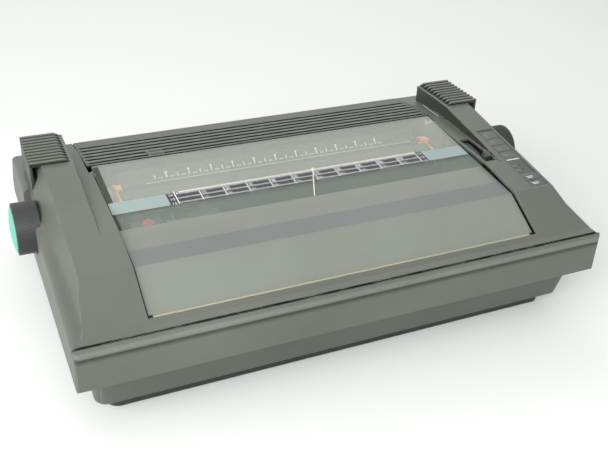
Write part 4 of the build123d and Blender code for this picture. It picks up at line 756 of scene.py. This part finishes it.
# %% Pointer, painted edge highlight, corner notch shadows and painted side shade
POINTER_REAR, POINTER_FRONT = (20.0, -18.0), (-0.6, -69.0)
POINTER_HEAD = 5.0
OVER_LINES = 0.13
pointer_x = POINTER_REAR[0] - POINTER_FRONT[0]
pointer_up = (POINTER_REAR[1] - POINTER_FRONT[1]) * stretch_lid
pointer_length = math.hypot(pointer_x, pointer_up)
pointer_foot = Matrix.Translation(Vector((POINTER_FRONT[0], up_lid(POINTER_FRONT[1]), 0)) * MM)
along_pointer = on_lid @ pointer_foot @ Matrix.Rotation(-math.atan2(pointer_x, pointer_up), 4, "Z")
pointer_plates = [((-0.6, 0.6), (0, pointer_length)),
                  ((-1.3, 1.3), (pointer_length - POINTER_HEAD, pointer_length))]
printed("scale_pointer", along_pointer, pointer_plates, cream_ink, "lid", OVER_LINES)

on_lid_front = face_plane(LID_FRONT, LID_BEND)
# painted highlight along the sheet's front edge
printed("lid_edge_highlight", on_lid_front, [((-LID_EDGE + 4, LID_EDGE - 4), (2.5, 4.3))], painted_edge_highlight, "lid")
# painted shadow for a small notch at each front corner
notches = [(sorted((side * (LID_EDGE - 3.6), side * LID_EDGE)), (1.8, 5.6)) for side in (-1, 1)]
printed("lid_corner_notches", on_lid_front, notches, shadow_black, "lid")
# painted shade along the lid's left edge, where a gap lies beside it
gap_shadows = [((-LID_EDGE, -LID_EDGE + 5.5), (BAND[1] + 0.5, up_lid(48.0))),
         ((-LID_EDGE, -LID_EDGE + 3.0), (up_lid(FROSTED_TO), BAND[0]))]
printed("lid_side_gap_shadow", on_lid, gap_shadows, side_gap_shadow, "lid")

# %% [markdown]
# Inside the tray's front corners the wall is thicker, as a moulder rounds an inside corner so that the
# plastic flows round it. Each web follows the tray's outer curve just under its skin, and leans with the
# front. Without it the sharp inside corner would break through the rounded outside.

# %% Webs inside the tray's front corners
TRAY_HALF_X = 256.0
TRAY_RADIUS = 12.0
WEB_OUTER, WEB_INNER = 11.8, 8.5
WEB_TURNS = range(15, 80, 6)
# the height of each end of a web and how far forward the tray's front stands there
WEB_ENDS = ((18.6, -172.7), (57.6, -184.8))
webs = bmesh.new()
for side in (-1, 1):
    profile = [(WEB_OUTER, math.radians(turn)) for turn in WEB_TURNS]
    profile += [(WEB_INNER, turn) for _, turn in reversed(profile)]
    rings = []
    for height, front in WEB_ENDS:
        ring = []
        for radius, turn in profile:
            x = side * (TRAY_HALF_X - TRAY_RADIUS + radius * math.cos(turn))
            y = front + TRAY_RADIUS - radius * math.sin(turn)
            ring.append(webs.verts.new(Vector((x, y, height)) * MM))
        rings.append(ring)
    for i, vert in enumerate(rings[0]):
        webs.faces.new((vert, rings[0][i - 1], rings[1][i - 1], rings[1][i]))
    for ring in rings:
        webs.faces.new(ring)
piece("tray_corner_webs", webs, casing_plastic, "casing")

# %% [markdown]
# The bent sheet behind the platen is marked in inches too, for setting the paper's edges. Its marks are
# pale paint: a tall stroke with a head for each inch, a shorter one for each half, and dots between. A thin
# pale line along the bend is a painted highlight.

# %% Marks on the paper guide
GUIDE_BEND, GUIDE_TOP = (34.5, 122.0), (47.5, 133.0)
FIRST_MARK = -127.0
MARK_FOOT = 3.6
marks = []
for tenth in range(-5, 105):
    x = FIRST_MARK + tenth * INCH / 10
    if tenth % 10 == 0:
        marks += [(around(x, 0.6), (MARK_FOOT, 9.2)), (around(x, 1.1), (9.2, 11.2))]
    elif tenth % 5 == 0:
        marks.append((around(x, 0.5), (MARK_FOOT, 8.2)))
    elif tenth % 5 in (2, 3):
        marks.append((around(x, 0.5), (MARK_FOOT, 5.2)))
# a thin pale line along the bend, a painted highlight
marks.append(((-150.0, 172.0), (0.1, 0.5)))
on_guide = face_plane(GUIDE_BEND, GUIDE_TOP)
printed("paper_guide_marks", on_guide, marks, white_ink, "casing", 0.02)

# %% [markdown]
# Each platen knob has fine ribs round its rim for grip. A mould would cut them as grooves; here every
# second face of a many-sided drum is raised a little, which gives the same comb of ribs.

# %% Ribbed platen knobs
RIBS = 84
RIB_HEIGHT, RIB_INSET = 0.7, 0.24
KNOB_RIM, KNOB_RECESS = 1.2, 0.4


def ribbed_knob(name, stands_for):
    low, high = (Vector(corner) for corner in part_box(stands_for))
    middle = (low + high) / 2
    root = (high.z - low.z) / 2 - RIB_HEIGHT * MM
    bm = bmesh.new()
    lying = Matrix.Translation(middle) @ Matrix.Rotation(math.pi / 2, 4, "Y")
    bmesh.ops.create_cone(bm, cap_ends=True, segments=2 * RIBS, radius1=root, radius2=root,
                          depth=high.x - low.x, matrix=lying)
    bm.normal_update()
    rim = [f for f in bm.faces if abs(f.normal.x) < 0.5]
    rim.sort(key=lambda f: math.atan2(f.normal.z, f.normal.y))
    ends = [f for f in bm.faces if abs(f.normal.x) > 0.9]
    bmesh.ops.inset_individual(bm, faces=rim[::2], thickness=RIB_INSET * MM, depth=RIB_HEIGHT * MM)
    bmesh.ops.inset_region(bm, faces=ends, thickness=KNOB_RIM * MM, depth=-KNOB_RECESS * MM)
    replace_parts(piece(name, bm, knob_plastic, "platen"), stands_for)


ribbed_knob("left_ribbed_knob", "left_platen_knob")
ribbed_knob("right_ribbed_knob", "right_platen_knob")

# %% [markdown]
# The vent caps are moulded with slats standing on a floor, so air gets out and a pen doesn't fall in. Each
# slat is a bar with its inner corner cut off by a sloping plane; the cap hangs over the shoulder's side.

# %% Slatted vent caps
SLATS = 10
SLAT_WIDTH = 3.5
SLAT_HEIGHT = 3.3
SLAT_CORNER_RUN, SLAT_CORNER_DROP = 5.0, 3.0
CAP_SKIN = 2.4
CAP_FLOOR_THICKNESS = 1.2
CAP_OVER_SHOULDER = 38.0


def slatted_cap(name, stands_for):
    low, high = (Vector(corner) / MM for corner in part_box(stands_for))
    outward = 1 if low.x + high.x > 0 else -1
    inner, outer = (low.x, high.x) if outward > 0 else (high.x, low.x)
    floor_z = high.z - SLAT_HEIGHT
    bm = bmesh.new()

    def bar(x_ends, y_ends, z_ends):
        ends = [sorted(pair) for pair in (x_ends, y_ends, z_ends)]
        middle = Vector([sum(pair) for pair in ends]) * MM / 2
        size = [(pair[1] - pair[0]) * MM for pair in ends]
        placed = Matrix.Translation(middle) @ Matrix.Diagonal((*size, 1))
        return bmesh.ops.create_cube(bm, size=1, matrix=placed)["verts"]

    corner_at = Vector((inner + outward * SLAT_CORNER_RUN, 0, high.z)) * MM
    corner_way = Vector((-outward * SLAT_CORNER_DROP, 0, SLAT_CORNER_RUN))
    pitch = (high.y - low.y - SLAT_WIDTH) / (SLATS - 1)
    for i in range(SLATS):
        slat_y = low.y + i * pitch
        verts = bar((inner, outer), (slat_y, slat_y + SLAT_WIDTH), (floor_z, high.z))
        edges_and_faces = [part for v in verts for part in (*v.link_edges, *v.link_faces)]
        cut = bmesh.ops.bisect_plane(bm, geom=list(dict.fromkeys([*verts, *edges_and_faces])),
                                     plane_co=corner_at, plane_no=corner_way, clear_outer=True)
        cut_edges = [part for part in cut["geom_cut"] if isinstance(part, bmesh.types.BMEdge)]
        bmesh.ops.holes_fill(bm, edges=cut_edges, sides=0)
    skirt_x = outer - outward * CAP_SKIN
    floor_foot = floor_z - CAP_FLOOR_THICKNESS
    bar((inner + outward * 0.1, outer - outward * 0.1), (low.y + 0.1, high.y - 0.1), (floor_foot, floor_z))
    bar((skirt_x, outer), (low.y, high.y), (low.z, floor_z))
    bar((inner + outward * CAP_OVER_SHOULDER, skirt_x), (high.y - CAP_SKIN, high.y), (low.z, floor_foot))
    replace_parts(piece(name, bm, ribbed_plastic, "casing"), stands_for)


slatted_cap("left_slatted_cap", "left_vent_cap")
slatted_cap("right_slatted_cap", "right_vent_cap")

# %% [markdown]
# The keys are marked with short strokes instead of words, and a thin line is printed round each group. The
# panel lies a little below the shoulder's slope, and the keys stand a little above the panel.

# %% Key marks and lines on the control panel
SHOULDER_CREASE = (-131.0, 131.0)
SHOULDER_SLOPE = 0.152
PANEL_X, PANEL_Y = 240.5, -71.5
PANEL_FACE, KEY_FACE = -1.2 + 0.01, -1.0 + 0.01
GROUP_HALF_X = 9.9
GROUPS_Y = ((-73.4, -19.4), (-126.6, -104.0))
GROUP_LINE = 0.45
LAMPS_Y = (-87.0, -95.0)
PAIR_REAR = -80.0
KEYS_Y = {"select_key": -26.6, "pitch_key": -39.8, "line_feed_key": -53.0, "form_feed_key": -66.2,
          "on_line_key": -109.7, "self_test_key": -120.9}
panel_z = SHOULDER_CREASE[1] + SHOULDER_SLOPE * (PANEL_Y - SHOULDER_CREASE[0])
on_panel = sloping((PANEL_X, PANEL_Y, panel_z), SHOULDER_SLOPE)


def up_panel(y):
    """How far up the panel's slope a place at y lies."""
    return (y - PANEL_Y) * math.hypot(1, SHOULDER_SLOPE)


def outline(across, up_slope, line):
    """The areas of four thin plates round a rectangle."""
    return [(across, (up_slope[0], up_slope[0] + line)), (across, (up_slope[1] - line, up_slope[1])),
            ((across[0], across[0] + line), up_slope), ((across[1] - line, across[1]), up_slope)]


group_lines = []
for y_low, y_high in GROUPS_Y:
    group_lines += outline((-GROUP_HALF_X, GROUP_HALF_X), (up_panel(y_low), up_panel(y_high)), GROUP_LINE)
printed("key_group_lines", on_panel, group_lines, faded_ink, "casing", PANEL_FACE)
printed("key_group_bar", on_panel, [((-8.5, 8.5), (up_panel(-76.2), up_panel(-74.8)))], white_ink, "casing",
        PANEL_FACE)
printed("lamp_bars", on_panel, [((-9.0, -3.0), around(up_panel(y), 0.4)) for y in LAMPS_Y], faded_ink,
        "casing", PANEL_FACE)

for key, y in KEYS_Y.items():
    middle = up_panel(y)
    if y > PAIR_REAR:
        strokes = [((-7.0, -2.2), (middle + 1.0, middle + 1.7)), ((-5.6, -1.6), (middle - 1.2, middle - 0.6))]
        key_ink = green_ink if key == "line_feed_key" else faded_ink
    else:
        strokes = [(around(-1.0, 4.2), around(middle + 1.0, 0.45)),
                   (around(-1.0, 3.4), around(middle - 1.2, 0.45))]
        key_ink = white_ink
    printed(key + "_mark", on_panel, strokes, key_ink, key, KEY_FACE)

# %% [markdown]
# Small marks finish the top: a groove on the strip beside the lid, drawn as a painted shadow with a painted
# highlight along its lip, the latch slit in the louvred cover, painted as shadow, and the bare label on the
# ribbon cassette.

# %% Groove, latch slit and cassette label
STRIP_PEAK, STRIP_BEND = (47.0, 142.0), (94.0, 139.6)
GROOVE_X, GROOVE_Y = 218.5, 70.0
GROOVE_TURN = math.atan(3 / 42)
GROOVE_REACH = (-21.0, 21.0)
strip_slope = slope_of(STRIP_PEAK, STRIP_BEND)
groove_z = STRIP_PEAK[1] + strip_slope * (GROOVE_Y - STRIP_PEAK[0])
on_strip = sloping((GROOVE_X, GROOVE_Y, groove_z), strip_slope) @ Matrix.Rotation(-GROOVE_TURN, 4, "Z")
# painted shadow in the groove
printed("strip_groove", on_strip, [((-1.3, 0.5), GROOVE_REACH)], shadow_black, "casing")
# painted highlight along the groove's lip
printed("strip_groove_highlight", on_strip, [((0.5, 1.5), GROOVE_REACH)], white_ink, "casing")
# painted shadow in the latch slit
printed("cover_latch_slit", face_plane(COVER_FRONT, COVER_REAR), [((-141.0, -139.8), (3.0, 17.5))],
        shadow_black, "rear_cover")
cassette_low, cassette_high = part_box("ribbon_cassette")
cassette_x = (cassette_low[0] + cassette_high[0]) / 2
on_cassette = Matrix.Translation((cassette_x, cassette_low[1], cassette_high[2]))
printed("cassette_label", on_cassette, [((-22.0, 22.0), (4.0, 16.0))], faded_ink, "carriage")
